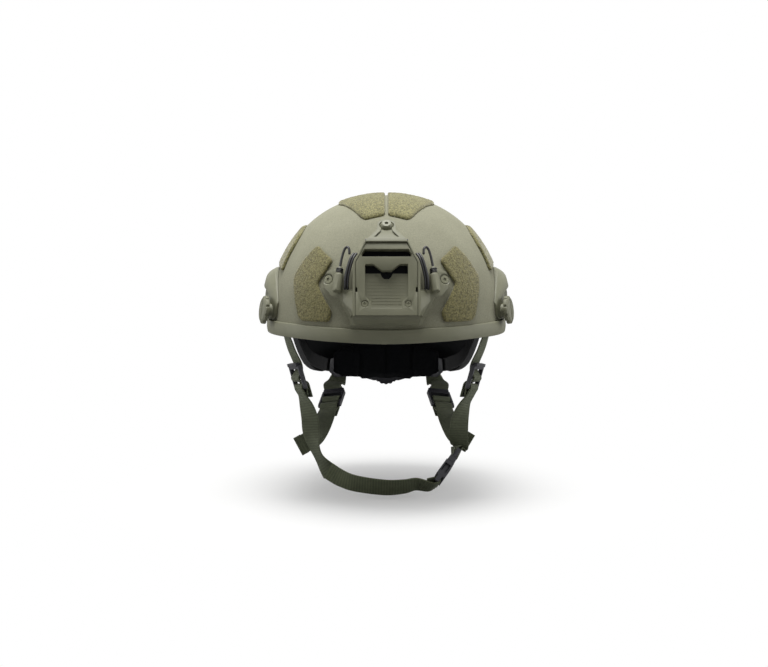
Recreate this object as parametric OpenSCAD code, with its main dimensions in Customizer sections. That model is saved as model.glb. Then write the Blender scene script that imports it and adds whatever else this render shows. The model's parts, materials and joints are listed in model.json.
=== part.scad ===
// High-cut combat helmet with a night-vision shroud, side rails, loop patches,
// foam pads, a dial-fit nape cradle and a four-point chin harness.
// Millimetres. +Z up, the face looks along -Y, +X is the wearer's left.
// The origin is the centre of the head opening, level with the front brim.

/* [Shell] */
// Half of the bare shell's width
shell_half_w = 118; // [114:1:122]
// From the origin to the shell's front
shell_front = 136; // [132:1:140]
// From the origin to the shell's back
shell_rear = 142; // [138:1:146]
// Height of the crown above the brim
shell_h = 139; // [136:1:142]
// Laminate thickness
shell_t = 8; // [6:0.5:9]
// How far the corners behind the ears hang below the brim
rear_drop = 51; // [48:1:53]
// How far the ear cut rises above the brim
ear_rise = 34; // [30:1:35]

/* [Edge trim] */
// Rubber wall of the trim
trim_t = 2; // [1.5:0.25:2.5]
// Height of the trim's outer leg
trim_h = 13; // [10:0.5:14]

/* [Loop patches] */
// Thickness of a loop patch with its pile
patch_t = 2.8; // [2:0.2:3.2]

/* [Shroud] */
// Width of the shroud's insert plate
insert_w = 56; // [52:1:60]
// Height of the insert plate
insert_h = 55; // [52:1:57]
// Thickness of the insert plate
insert_t = 9; // [8:0.5:10]
// Width of the socket in the insert plate
socket_w = 39; // [36:1:42]
// Height of the socket in the insert plate
socket_h = 41; // [38:0.5:42]
// Depth of the socket in the insert plate
socket_d = 6; // [5:0.5:6.5]
// Thickness of the frame over the shell
frame_t = 5; // [4:0.5:6]
// Diameter of the elastic cord
bungee_d = 4.4; // [3.5:0.1:5]

/* [Rails] */
// How far a rail stands out from the shell
rail_t = 9.6; // [8.5:0.1:11]
// Height of the rails' top edge above the brim
rail_top = 67; // [62:1:68]
// Diameter of the thumb knobs
knob_d = 27; // [24:0.5:28]
// Thickness of the thumb knobs
knob_t = 5; // [4.5:0.5:7]

/* [Pads] */
// Thickness of the foam pads
pad_t = 17; // [12:1:19]

/* [Harness] */
// Width of the webbing
web_w = 19; // [17:0.5:20]
// Thickness of the webbing
web_t = 1.6; // [1.4:0.1:1.8]
// Length of an adjuster along its strap
lock_l = 22; // [20:0.5:24]
// Thickness of an adjuster
lock_t = 4.2; // [4:0.2:5]
// Length of the buckle's socket
buckle_l = 25; // [24:1:28]
// Width of the buckle's socket
buckle_w = 27; // [25:1:29]
// Thickness of the buckle's socket
buckle_t = 9; // [8:0.5:10]

/* [Nape cradle] */
// Width of the nape pad
nape_w = 108; // [100:1:112]
// Diameter of the fit dial
dial_d = 32; // [28:0.5:34]

/* [Hidden] */

// Finishes, as the photograph shows them.
paint = [0.47, 0.48, 0.40];
moulded = [0.43, 0.44, 0.36];
loop_pile = [0.56, 0.54, 0.34];
webbing = [0.24, 0.27, 0.18];
black_plastic = [0.12, 0.12, 0.13];
black_foam = [0.06, 0.06, 0.07];
steel = [0.35, 0.35, 0.33];

// Exponents of the shell's plan and of its rise, and the reach of its lower wall.
plan_e = 2.35;
rise_e = 2.2;
low_reach = 230;
seat_gap = 0.35;      // between pieces that only touch
liner_gap = 0.6;      // between the pads and the shell's inner face
columns = 72;         // facets round the shell
rows = 12;            // facets from crown to edge

// general helpers

function mix(a, b, t) = a + (b - a) * t;
function unit(v) = v / norm(v);
function power(v, e) = pow(abs(v), e);

// Catmull-Rom point on a list of keys, which may be numbers or vectors.
function spline(keys, i, t) =
  let (n = len(keys), p0 = keys[max(i - 1, 0)], p1 = keys[i],
       p2 = keys[min(i + 1, n - 1)], p3 = keys[min(i + 2, n - 1)])
  0.5 * (2 * p1 + (p2 - p0) * t + (2 * p0 - 5 * p1 + 4 * p2 - p3) * t * t
         + (3 * p1 - p0 - 3 * p2 + p3) * t * t * t);
function smooth(keys, steps) =
  [for (i = [0 : len(keys) - 2], s = [0 : steps - 1]) spline(keys, i, s / steps), keys[len(keys) - 1]];
// Value at x in a table of [x, value] pairs, eased between them.
function table(keys, x, i = 0) =
  i >= len(keys) - 2 || x <= keys[i + 1][0]
    ? spline([for (k = keys) k[1]], i, min(1, max(0, (x - keys[i][0]) / (keys[i + 1][0] - keys[i][0]))))
    : table(keys, x, i + 1);
// Value at x in a table of [x, value] pairs, straight between them.
function ramp(keys, x, i = 0) =
  i >= len(keys) - 2 || x <= keys[i + 1][0]
    ? mix(keys[i][1], keys[i + 1][1], min(1, max(0, (x - keys[i][0]) / (keys[i + 1][0] - keys[i][0]))))
    : ramp(keys, x, i + 1);

function quad(a, b, c, d) = [[a, b, c], [a, c, d]];

// Closed solid, with its faces turned to look outward.
module solid(points, faces) {
  parts = [for (f = faces) points[f[0]] * cross(points[f[1]], points[f[2]])];
  inward = parts * [for (p = parts) 1] > 0;
  polyhedron(points = points, faces = inward ? [for (f = faces) [f[2], f[1], f[0]]] : faces);
}

function middle(ring) = [for (i = [0 : 2]) ([for (p = ring) p[i]] * [for (p = ring) 1]) / len(ring)];

// Solid through rings of points. A closed sweep joins its last ring to its first.
module sweep(rings, closed = false) {
  n = len(rings);
  k = len(rings[0]);
  last = closed ? n - 1 : n - 2;
  sides = [for (i = [0 : last], j = [0 : k - 1], q = quad(i * k + j, i * k + (j + 1) % k,
           ((i + 1) % n) * k + (j + 1) % k, ((i + 1) % n) * k + j)) q];
  ends = closed ? [] : [for (j = [0 : k - 1], f = [[n * k, (j + 1) % k, j],
           [n * k + 1, (n - 1) * k + j, (n - 1) * k + (j + 1) % k]]) f];
  tips = closed ? [] : [middle(rings[0]), middle(rings[n - 1])];
  solid(concat([for (r = rings, p = r) p], tips), concat(sides, ends));
}

// Solid between two grids of points with the same rows and columns.
module slab(outer, inner) {
  r = len(outer);
  c = len(outer[0]);
  m = r * c;
  rim = concat([for (j = [0 : c - 2]) j], [for (i = [0 : r - 2]) i * c + c - 1],
               [for (j = [c - 1 : -1 : 1]) (r - 1) * c + j], [for (i = [r - 1 : -1 : 1]) i * c]);
  top = [for (i = [0 : r - 2], j = [0 : c - 2],
         q = quad(i * c + j, i * c + j + 1, (i + 1) * c + j + 1, (i + 1) * c + j)) q];
  bottom = [for (f = top) [f[2] + m, f[1] + m, f[0] + m]];
  wall = [for (i = [0 : len(rim) - 1], q = quad(rim[i], rim[i] + m, rim[(i + 1) % len(rim)] + m,
          rim[(i + 1) % len(rim)])) q];
  solid(concat([for (row = outer, p = row) p], [for (row = inner, p = row) p]), concat(top, bottom, wall));
}

// Puts +Z along direction d at point p, with +X as near to side as it can be.
module aim(p, d, side = [1, 0, 0]) {
  z = unit(d);
  y = unit(cross(z, side));
  x = cross(y, z);
  multmatrix([[x[0], y[0], z[0], p[0]], [x[1], y[1], z[1], p[1]], [x[2], y[2], z[2], p[2]], [0, 0, 0, 1]])
    children();
}

// Puts +Z out of the shell at angle a and height z, off outside its face.
module on_skin(a, z, off = 0) {
  aim(skin(a, z), skin_out(a, z), [0, 0, 1]) translate([0, 0, off]) children();
}

module mirrored(flip) {
  if (flip) mirror([1, 0, 0]) children();
  else children();
}

// the shell's surface

// Plan radius at angle a, counted from the face; off is the distance outside the shell.
function plan_r(a, off) =
  let (reach = (cos(a) > 0 ? shell_front : shell_rear) + off)
  pow(power(sin(a) / (shell_half_w + off), plan_e) + power(cos(a) / reach, plan_e), -1 / plan_e);
function rise(z, off) = pow(1 - power(z / (z >= 0 ? shell_h + off : low_reach), rise_e), 1 / rise_e);
// Point at angle a and height z.
function skin(a, z, off = 0) =
  let (r = plan_r(a, off) * rise(z, off)) [r * sin(a), -r * cos(a), z];
// Point above plan position x, y.
function dome(x, y, off = 0) =
  let (reach = (y < 0 ? shell_front : shell_rear) + off,
       s = power(x / (shell_half_w + off), plan_e) + power(y / reach, plan_e))
  [x, y, (shell_h + off) * pow(max(0, 1 - pow(s, rise_e / plan_e)), 1 / rise_e)];
// How far forward the surface lies at height z, to the side by x.
function front_y(x, z, off) =
  -(shell_front + off) * pow(power(rise(z, off), plan_e) - power(x / (shell_half_w + off), plan_e), 1 / plan_e);
// Outward direction of the surface at angle a and height z.
function skin_out(a, z) =
  let (p = skin(a, z), du = skin(a + 1, z) - skin(a - 1, z), dv = skin(a, z + 1) - skin(a, z - 1))
  unit(cross(du, dv));

// Height of the trim's lower edge round the helmet: brim, ear cut, corner behind the ear, nape.
edge_keys = [[-20, 1.4], [0, 0], [20, 1.4], [40, 3.2], [64, 3.8], [76, 5.5], [86, ear_rise * 0.5],
             [96, ear_rise * 0.88], [107, ear_rise], [118, ear_rise * 0.85], [126, ear_rise * 0.3],
             [132, -rear_drop * 0.38],
             [138, -rear_drop * 0.82], [145, -rear_drop], [154, -rear_drop * 0.93],
             [166, -rear_drop * 0.8], [180, -rear_drop * 0.75], [200, -rear_drop * 0.78]];
function edge_z(a) = table(edge_keys, a > 180 ? 360 - a : a);
// How much longer the edge runs than its plan, where it climbs.
function edge_stretch(a) =
  let (d = 1, run = plan_r(a, 0) * 2 * d * PI / 180,
       climb = edge_z(a + d) - edge_z(a - d + (a < d ? 360 : 0)))
  norm([run, climb]) / run;
function above_edge(a, h) = edge_z(a) + h * edge_stretch(a);
function shell_edge(a) = above_edge(a, trim_t + seat_gap);

// Point of the shell's wall, t from 0 at the crown to 1 at the edge.
function wall(a, t, off) =
  let (e = shell_edge(a), top = shell_h + off,
       end = e >= 0 ? asin(pow(e / top, rise_e / 2)) : -asin(pow(-e / low_reach, rise_e / 2)),
       lat = mix(90, end, t),
       z = lat >= 0 ? top * pow(sin(lat), 2 / rise_e) : -low_reach * pow(sin(-lat), 2 / rise_e),
       r = plan_r(a, off) * pow(max(0, cos(lat)), 2 / rise_e))
  [r * sin(a), -r * cos(a), z];

// Screw places, as [angle from the face, height].
rail_holes = [[66, 21], [92, 47], [121, 46]];
ear_hole = [23.8, 57];
top_hole_z = 103.5;
screw_r = 2.5;

module hole(a, z, r = screw_r, deep = 30) {
  on_skin(a, z, -deep) cylinder(r = r, h = 2 * deep, $fn = 24);
}

module shell() {
  step = 360 / columns;
  outer = [for (j = [1 : rows], i = [0 : columns - 1]) wall(i * step, j / rows, 0)];
  inner = [for (j = [1 : rows], i = [0 : columns - 1]) wall(i * step, j / rows, -shell_t)];
  m = rows * columns;
  skin_quads = [for (j = [0 : rows - 2], i = [0 : columns - 1])
    quad(j * columns + i, (j + 1) * columns + i, (j + 1) * columns + (i + 1) % columns,
         j * columns + (i + 1) % columns)];
  outside = [for (q = skin_quads, f = q) [f[2], f[1], f[0]]];
  inside = [for (q = skin_quads, f = q) [f[0] + m, f[1] + m, f[2] + m]];
  edge = (rows - 1) * columns;
  lip = [for (i = [0 : columns - 1], q = quad(edge + i, edge + (i + 1) % columns,
         edge + (i + 1) % columns + m, edge + i + m)) q];
  crown = [for (i = [0 : columns - 1], f = [[2 * m, (i + 1) % columns, i],
           [2 * m + 1, i + m, (i + 1) % columns + m]]) f];
  color(paint)
    difference() {
      solid(concat(outer, inner, [[0, 0, shell_h], [0, 0, shell_h - shell_t]]),
            concat(outside, inside, lip, crown));
      for (s = [-1, 1]) {
        for (h = rail_holes) hole(s * h[0], h[1]);
        hole(s * ear_hole[0], ear_hole[1]);
      }
      hole(0, top_hole_z);
    }
}

// Trim section as [distance up from the edge, distance outside the shell].
trim_gap = 0.5;
trim_in = -shell_t - 2 * trim_gap;
trim_leg = trim_h * 0.6;         // height of the leg inside the shell
trim_section = [[0, trim_t], [trim_h * 0.5, trim_t + 0.2], [trim_h, trim_t], [trim_h + 0.6, trim_gap],
                [trim_t, trim_gap], [trim_t, trim_in], [trim_leg, trim_in],
                [trim_leg, trim_in - trim_t], [0, trim_in - trim_t + 0.6]];
module edge_trim() {
  rings = [for (i = [0 : columns - 1])
    let (a = i * 360 / columns)
    [for (s = trim_section) skin(a, above_edge(a, s[0]), s[1])]];
  color(moulded) sweep(rings, closed = true);
}

// loop patches

// Patch on the side of the shell. Edges are [height, angle at one side, angle at the other].
module side_slab(edges, low, high, up, across = 8) {
  z0 = edges[0][0];
  z1 = edges[len(edges) - 1][0];
  grid = function (off) [for (i = [0 : up]) let (z = mix(z0, z1, i / up),
    a = ramp([for (e = edges) [e[0], e[1]]], z), b = ramp([for (e = edges) [e[0], e[2]]], z))
    [for (j = [0 : across]) skin(mix(a, b, j / across), z, off)]];
  slab(grid(high), grid(low));
}

// Long patch round the side. Edges are [angle, lower z, upper z].
module arc_slab(edges, low, high, along, up) {
  a0 = edges[len(edges) - 1][0];
  a1 = edges[0][0];
  grid = function (off) [for (i = [0 : along]) let (a = mix(a0, a1, i / along),
    z0 = ramp([for (e = edges) [e[0], e[1]]], a), z1 = ramp([for (e = edges) [e[0], e[2]]], a))
    [for (j = [0 : up]) skin(a, mix(z0, z1, j / up), off)]];
  slab(grid(high), grid(low));
}

// Patch on the crown. Edges are [y, x at one side, x at the other].
module crown_slab(edges, low, high, up, across) {
  y0 = edges[0][0];
  y1 = edges[len(edges) - 1][0];
  grid = function (off) [for (i = [0 : up]) let (y = mix(y0, y1, i / up),
    a = ramp([for (e = edges) [e[0], e[1]]], y), b = ramp([for (e = edges) [e[0], e[2]]], y))
    [for (j = [0 : across]) dome(mix(a, b, j / across), y, off)]];
  slab(grid(high), grid(low));
}

front_patch_edges = [[19.5, 22.8, 35], [22.5, 22, 37.3], [29.6, 21.4, 38.6], [54, 29.2, 43.4], [61, 27.5, 44.5],
                     [76, 24, 41], [82, 29, 39], [88.5, 34.5, 36.5]];
module front_patch(flip) {
  color(loop_pile) mirrored(flip) side_slab(front_patch_edges, seat_gap, patch_t, up = 12, across = 4);
}

crown_gap = 1.4;
top_front_edges = [[-84.6, 17, 20.5], [-80.8, crown_gap, 24.5], [-58, crown_gap, 36], [-34, crown_gap, 46],
                   [-24, crown_gap, 47.5], [-20, crown_gap, 46.5]];
top_rear_edges = [[-15, crown_gap, 13], [-9, crown_gap, 15], [12, crown_gap, 40], [28, crown_gap, 49],
                  [62, crown_gap, 30], [66, crown_gap, 26]];
module top_patch_front(flip) {
  color(loop_pile) mirrored(flip) crown_slab(top_front_edges, seat_gap, patch_t, up = 8, across = 5);
}
module top_patch_rear(flip) {
  color(loop_pile) mirrored(flip) crown_slab(top_rear_edges, seat_gap, patch_t, up = 10, across = 5);
}

// Edges of a side patch as [angle, lower z, upper z].
side_patch_edges = [[59, rail_top - 2.5, 91], [61.5, rail_top - 1.5, 100], [66, rail_top, 104.5],
                    [74, rail_top + 3.6, 108.5], [80, rail_top + 4, 109], [112, rail_top + 4, 107],
                    [122, rail_top + 8, 98]];
module side_patch(flip) {
  color(loop_pile) mirrored(flip) arc_slab(side_patch_edges, seat_gap, patch_t, along = 14, up = 6);
}

rear_patch_edges = [[12, 160, 200], [18, 157, 203], [62, 157, 203], [68, 161, 199]];
module rear_patch() {
  color(loop_pile) side_slab(rear_patch_edges, seat_gap, patch_t, up = 8);
}

rear_side_edges = [[-27, 146, 152], [-20, 144, 154], [2, 138, 153], [26, 135, 150], [32, 138, 146]];
module rear_side_patch(flip) {
  color(loop_pile) mirrored(flip) side_slab(rear_side_edges, seat_gap, patch_t, up = 8, across = 3);
}

// fasteners

// Round-headed screw with a hexagon socket. Its head's seat is at z = 0.
module screw(long, head_r = 5.5, head_h = 3) {
  difference() {
    union() {
      translate([0, 0, -long]) cylinder(r = shank_r, h = long + 0.01, $fn = 32);
      cylinder(r1 = head_r, r2 = head_r * 0.62, h = head_h, $fn = 40);
    }
    translate([0, 0, head_h - 1.6]) cylinder(r = 1.8, h = 3, $fn = 6);
  }
}

// Flanged nut against the shell's inner face.
nut_flange_t = 1.6;
nut_gap = 1;
shank_r = screw_r - 0.2;
through = shell_t + nut_gap + nut_flange_t;      // from the shell's face to a screw's tip
module inner_nut() {
  translate([0, 0, -through])
    difference() {
      cylinder(r = 6.5, h = nut_flange_t, $fn = 40);
      translate([0, 0, -1]) cylinder(r = shank_r + 0.06, h = nut_flange_t + 2, $fn = 32);
    }
}

module inner_nuts() {
  color(steel) {
    for (s = [-1, 1]) {
      for (h = rail_holes) on_skin(s * h[0], h[1]) inner_nut();
      on_skin(s * ear_hole[0], ear_hole[1]) inner_nut();
    }
    on_skin(0, top_hole_z) inner_nut();
  }
}

// shroud

// The insert plate's lower front corner. The plate leans back with the forehead.
insert_foot = [0, -148.5, 27];
insert_lean = 17;
module at_insert() {
  translate(insert_foot) rotate([90 - insert_lean, 0, 0]) children();
}

slot_low = insert_h;               // the slot lies between the plate and its sloping top
slot_high = slot_low + 7;
slot_point = [2.8, 2.5];           // the slot's pointed ends: reach past its top corners, height
insert_top = slot_high + 7;
top_slope = 14;
shoulder = insert_h - 5;
module insert_outline(grow = 0) {
  w = insert_w / 2;
  offset(delta = grow)
    polygon([[-w, 0], [w, 0], [w, shoulder], [w - 5.6, shoulder + 10], [w - 9.5, insert_top],
             [9.5 - w, insert_top], [5.6 - w, shoulder + 10], [-w, shoulder]]);
}

socket_foot = 7;
module socket_outline() {
  w = socket_w / 2;
  top = socket_foot + socket_h;
  polygon([[6 - w, socket_foot], [w - 6, socket_foot], [w - 5, socket_foot + 6], [w, socket_foot + 11],
           [w, top], [12, top], [4.2, top - 6], [-4.2, top - 6], [-12, top], [-w, top],
           [-w, socket_foot + 11], [5 - w, socket_foot + 6]]);
}

insert_screw_x = insert_w / 2 - 8.4;
insert_screw_z = 11;
lug_notch = [1.6, 4.2];            // depth and height
lug_notch_v = 22;
pin_r = 1;
module shroud_insert() {
  slot_w = insert_w / 2 - 8;
  color(moulded)
    at_insert()
      difference() {
        translate([0, 0, -insert_t]) linear_extrude(insert_t) insert_outline();
        translate([0, 0, -socket_d]) linear_extrude(socket_d + 1) socket_outline();
        translate([0, 0, -insert_t + 1.5]) linear_extrude(insert_t)
          both_sides([[slot_w, slot_high], [slot_w + slot_point[0], slot_low + slot_point[1]],
                      [slot_w + slot_point[0] - 0.6, slot_low]]);
        // the top slopes back from the slot
        translate([-insert_w, slot_high, 0]) rotate([-top_slope, 0, 0]) cube([insert_w * 2, 20, 9]);
        for (s = [-1, 1])
          translate([s * insert_screw_x, insert_screw_z, -insert_t - 1]) {
            cylinder(r = 1.6, h = insert_t + 2, $fn = 24);
            translate([0, 0, insert_t - 1.4]) cylinder(r = 3.2, h = 4, $fn = 32);
          }
        // notches for a mount's side lugs
        for (s = [-1, 1])
          translate([s * insert_w / 2 - lug_notch[0], lug_notch_v, -insert_t - 1])
            cube([2 * lug_notch[0], lug_notch[1], insert_t + 2]);
      }
}

module insert_screws() {
  color(steel)
    at_insert()
      for (s = [-1, 1])
        translate([s * insert_screw_x, insert_screw_z, -2.3])
          difference() {
            union() {
              cylinder(r = 2.9, h = 1.7, $fn = 32);
              translate([0, 0, -8]) cylinder(r = 1.5, h = 8.1, $fn = 24);
            }
            for (q = [0, 90]) rotate(q) translate([-1.8, -0.35, 0.9]) cube([3.6, 0.7, 1.2]);
          }
}

// Layer of the forehead between two distances outside the shell.
module forehead(low, high) {
  side_slab([[12, -34, 34], [60, -34, 34], [118, -30, 30]], low, high, up = 10, across = 12);
}

// Everything behind the forehead's surface.
module shell_core(off) {
  face = [for (i = [0 : 12]) [for (a = [-34 : 4 : 34]) skin(a, mix(8, shell_h * 0.92, i / 12), off)]];
  slab([for (row = face) [for (p = row) p * 0.4]], face);
}

module both_sides(points) {
  polygon(concat(points, [for (i = [len(points) - 1 : -1 : 0]) [-points[i][0], points[i][1]]]));
}

// Outlines from the front: the plate on the shell, with its ears, and the raised body.
body_w = insert_w / 2 + 2.6;
plate_half = [[4, 114], [8, 111], [9, 104], [body_w - 12.6, 95.5], [body_w - 10, 92], [body_w, 73.5],
              [body_w, 49.5], [38.5, 49.5], [38.5, 64], [41, 67.5], [48, 68], [54.5, 65.5], [58.3, 58.5],
              [56.5, 50.5], [50, 44], [43.5, 42.5], [34.5, 25], [32, 17.5]];
body_half = [[4, 114], [8, 111], [9, 104], [body_w - 12.6, 95.5], [body_w - 10, 92], [body_w - 5.6, 82.4],
             [body_w, 73.5], [body_w, 27], [body_w - 1.5, 17.5]];
// Outline of the raised body from the side.
body_side = [[-100, 13], [-137, 17.5], [-147, 23.5], [-148.5, 27], [-128, 94], [-125.5, 96.6], [-121, 96.6],
             [-98, 111], [-92, 114.5], [-82.2, 114.5]];
lip_pin_at = [-123.2, 94.4];
panel_half = [[4.5, 106.5], [5.6, 103], [11.5, 97.5]];
panel_side = [[-122, 94.2], [-122, 120], [-90, 120], [-90, 113.6]];

module shroud_frame() {
  color(moulded)
    difference() {
      union() {
        intersection() {
          forehead(-frame_t, frame_t);
          translate([0, -60, 0]) rotate([90, 0, 0]) linear_extrude(120) both_sides(plate_half);
        }
        intersection() {
          translate([0, -60, 0]) rotate([90, 0, 0]) linear_extrude(120) both_sides(body_half);
          rotate([90, 0, 90]) translate([0, 0, -60]) linear_extrude(120) polygon(body_side);
        }
        for (s = [-1, 1]) gusset(s);
      }
      shell_core(seat_gap);
      at_insert() translate([0, 0, -insert_t - seat_gap]) linear_extrude(40) insert_outline(seat_gap);
      // recessed panel on the arm
      translate([0, -60, 0]) rotate([90, 0, 0])
        intersection() {
          linear_extrude(120) both_sides(panel_half);
          rotate([-90, 0, 0]) translate([0, 60, 0]) rotate([90, 0, 90])
            translate([0, 0, -20]) linear_extrude(40) polygon(panel_side);
        }
      for (s = [-1, 1]) {
        hole(s * ear_hole[0], ear_hole[1]);
        on_skin(s * ear_hole[0], ear_hole[1], 2) cylinder(r1 = 2.5, r2 = 7.5, h = 5, $fn = 32);
        at_insert() translate([s * insert_screw_x, insert_screw_z, -insert_t - 4])
          cylinder(r = 1.6, h = 8, $fn = 24);
      }
      hole(0, top_hole_z, screw_r, 40);
      on_skin(0, top_hole_z, frame_t) cylinder(r = 7, h = 30, $fn = 40);
      translate([-insert_w, lip_pin_at[0], lip_pin_at[1]]) rotate([0, 90, 0])
        cylinder(r = pin_r + 0.15, h = insert_w * 2, $fn = 12);
    }
}

// Web between the raised body and an ear.
module gusset(s) {
  corners = [[body_w - 1, -144.5, 30], [body_w - 1, -139.5, 48], skin(14, 24, 1), skin(13, 48, 1),
             skin(17.8, 48, 1), skin(19.6, 44.5, 1)];
  hull()
    for (c = corners) translate([s * c[0], c[1], c[2]]) cube(0.8, center = true);
}

module lip_pin() {
  color(steel) translate([-body_w + 11, lip_pin_at[0], lip_pin_at[1]]) rotate([0, 90, 0])
    cylinder(r = pin_r, h = 2 * body_w - 22, $fn = 24);
}

module shroud_screws() {
  color(steel) {
    on_skin(0, top_hole_z, frame_t + 0.1) screw(frame_t + through, head_r = 6.6, head_h = 4.2);
    for (s = [-1, 1])
      on_skin(s * ear_hole[0], ear_hole[1], 2.4)
        difference() {
          union() {
            cylinder(r1 = 2.2, r2 = 4.1, h = 1.9, $fn = 32);
            translate([0, 0, -2.4 - through]) cylinder(r = shank_r, h = through + 2.5, $fn = 32);
          }
          translate([0, 0, 0.9]) cylinder(r = 1.7, h = 3, $fn = 6);
        }
  }
}

// Tube along a list of points.
function tube_ring(c, t, r, k) =
  let (u = unit(cross(t, abs(t[1]) > 0.9 ? [1, 0, 0] : [0, 1, 0])), v = cross(unit(t), u))
  [for (j = [0 : k - 1]) c + r * (cos(j * 360 / k) * u + sin(j * 360 / k) * v)];
module tube(path, r, k = 8) {
  n = len(path);
  sweep([for (i = [0 : n - 1])
    tube_ring(path[i], path[min(i + 1, n - 1)] - path[max(i - 1, 0)], r, k)]);
}

// The elastic cord runs from under the frame's shoulder down into the ear's ledge.
// Its places are [x, distance outside the shell, z].
bungee_route = [[body_w - 2, 9, 82], [body_w + 0.8, 10.8, 78], [body_w + 3.4, 11.3, 70],
                [max(36, body_w + 2.4), 10.5, 61], [max(36.6, body_w + 2.4), 8.7, 53],
                [max(36.4, body_w + 2.4), 7.5, 50.2]];
module bungee(flip) {
  places = [for (k = bungee_route) [k[0], front_y(k[0], k[2], k[1]), k[2]]];
  color(black_plastic) mirrored(flip) tube(smooth(places, 4), bungee_d / 2);
}

// Hook: a barrel that stands on the ear's ledge, with a wire hook on top.
hook_at = [45.2, 47.5];           // x and z of the barrel's foot
hook_stands = 10;
hook_foot = [hook_at[0], front_y(hook_at[0], hook_at[1], hook_stands), hook_at[1]];
hook_dir = [-0.12, 0.34, 0.93];
grip_r = 4.1;
grip_h = 17;
cap_h = 7;
wire_r = 1.2;
hook_pin = [1.2, 1.5];           // radius, and height of its axis above the barrel's foot
module at_hook() {
  aim(hook_foot, hook_dir, [1, 0.4, 0]) children();
}
module hook_grip(flip) {
  color(moulded) mirrored(flip) at_hook()
    difference() {
      rotate_extrude($fn = 32)
        polygon([[0, 0], [grip_r - 0.8, 0], [grip_r, 0.8], [grip_r, grip_h - 0.8], [grip_r - 0.8, grip_h],
                 [3, grip_h + 0.6], [2.6, grip_h + cap_h - 1], [2.1, grip_h + cap_h], [0, grip_h + cap_h]]);
      translate([0, 0, grip_h + 1.5]) cylinder(r = wire_r + 0.05, h = cap_h, $fn = 16);
    }
  color(moulded) mirrored(flip) at_hook()
    translate([0, 0, hook_pin[1]]) rotate([90, 0, 0])
      cylinder(r = hook_pin[0], h = 2 * grip_r + 1.2, center = true, $fn = 24);
}
hook_top = grip_h + cap_h + 19.4;
wire_route = [[0, 0, grip_h + 1.6], [0, 0, grip_h + cap_h + 1], [-0.6, 0, hook_top - 9.6], [-2, 0, hook_top - 2.4],
              [-4.4, 0, hook_top], [-6.6, 0, hook_top - 2.2], [-7.4, 0, hook_top - 6.6]];
module hook_wire(flip) {
  color(black_plastic) mirrored(flip) at_hook() tube(smooth(wire_route, 3), wire_r);
}

// rails

// Rail edges by angle from the face, and the rail's section as [share of its height down, distance out].
rail_tops = [[55, -32], [58, -24], [62, -15], [68, -6], [74, -1.5], [80, 0], [116, 0], [122, -5], [127, -14],
             [130, -26]];
rail_feet = [[55, 22], [57, 15.5], [60, 14], [110, 14], [118, 34], [130, 36]];
rail_depth = [[55, 0.3], [58, 0.5], [66, 0.85], [74, 1], [118, 1], [126, 0.75], [130, 0.4]];
rail_section = [[0, 0], [0.02, 0.42], [0.13, 0.8], [0.22, 1], [0.36, 1], [0.37, 0.76], [0.39, 0.5], [0.5, 0.5],
                [0.52, 0.72], [0.66, 0.66], [0.85, 0.58], [0.97, 0.52], [1, 0.4], [1, 0], [0.75, 0], [0.5, 0],
                [0.25, 0]];
// The groove under the lip fades out towards the rail's ends.
rail_groove = [[60, 0], [72, 1], [120, 1], [127, 0]];
rail_plain = [[0, 0], [0.02, 0.3], [0.13, 0.6], [0.22, 0.75], [0.5, 0.8], [0.85, 0.6], [0.97, 0.52],
              [1, 0.4]];
rail_from = 55;
rail_to = 130;
rail_rings = 30;
function rail_high(a) = rail_top + ramp(rail_tops, a);
function rail_low(a) = max(ramp(rail_feet, a), above_edge(a, trim_h + 2));
function rail_out(a) = rail_t * ramp(rail_depth, a);
// Point of the rail's section s at angle a. The section's back lies on the shell.
function rail_point(a, s) =
  let (stands = rail_out(a) * mix(ramp(rail_plain, s[0]), s[1], ramp(rail_groove, a)))
  skin(a, mix(rail_high(a), rail_low(a), s[0]), s[1] == 0 ? seat_gap : max(seat_gap, stands));

knob_at = [60, 26];
knob_off = 7.4;
accessory_at = [101.2, 52];
accessory_r = 2.1;
accessory_deep = 3.8;
rail_seat = 3.6;
module rail(flip) {
  color(moulded) mirrored(flip)
    difference() {
      union() {
        sweep([for (i = [0 : rail_rings])
          let (a = mix(rail_from, rail_to, i / rail_rings)) [for (s = rail_section) rail_point(a, s)]]);
        // boss under the knob
        on_skin(knob_at[0], knob_at[1], 1.5) cylinder(r = 6.5, h = knob_off - 1.5, $fn = 32);
      }
      on_skin(knob_at[0], knob_at[1], knob_off - stem_l - 1) cylinder(r = stem_r + 0.05, h = 12, $fn = 32);
      for (h = rail_holes) {
        hole(h[0], h[1]);
        on_skin(h[0], h[1], rail_seat) cylinder(r = 5.9, h = 20, $fn = 32);
      }
      // accessory hole, with a flat round its mouth
      translate(skin(accessory_at[0], accessory_at[1], 2)) rotate([0, 90, 0]) {
        cylinder(r = accessory_r, h = 30, $fn = 32);
        translate([0, 0, accessory_deep]) cylinder(r = accessory_r + 1.7, h = 30, $fn = 32);
      }
    }
}

module rail_screws() {
  color(steel)
    for (s = [-1, 1], h = rail_holes)
      on_skin(s * h[0], h[1], rail_seat + 0.1) screw(rail_seat + through);
}

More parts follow.
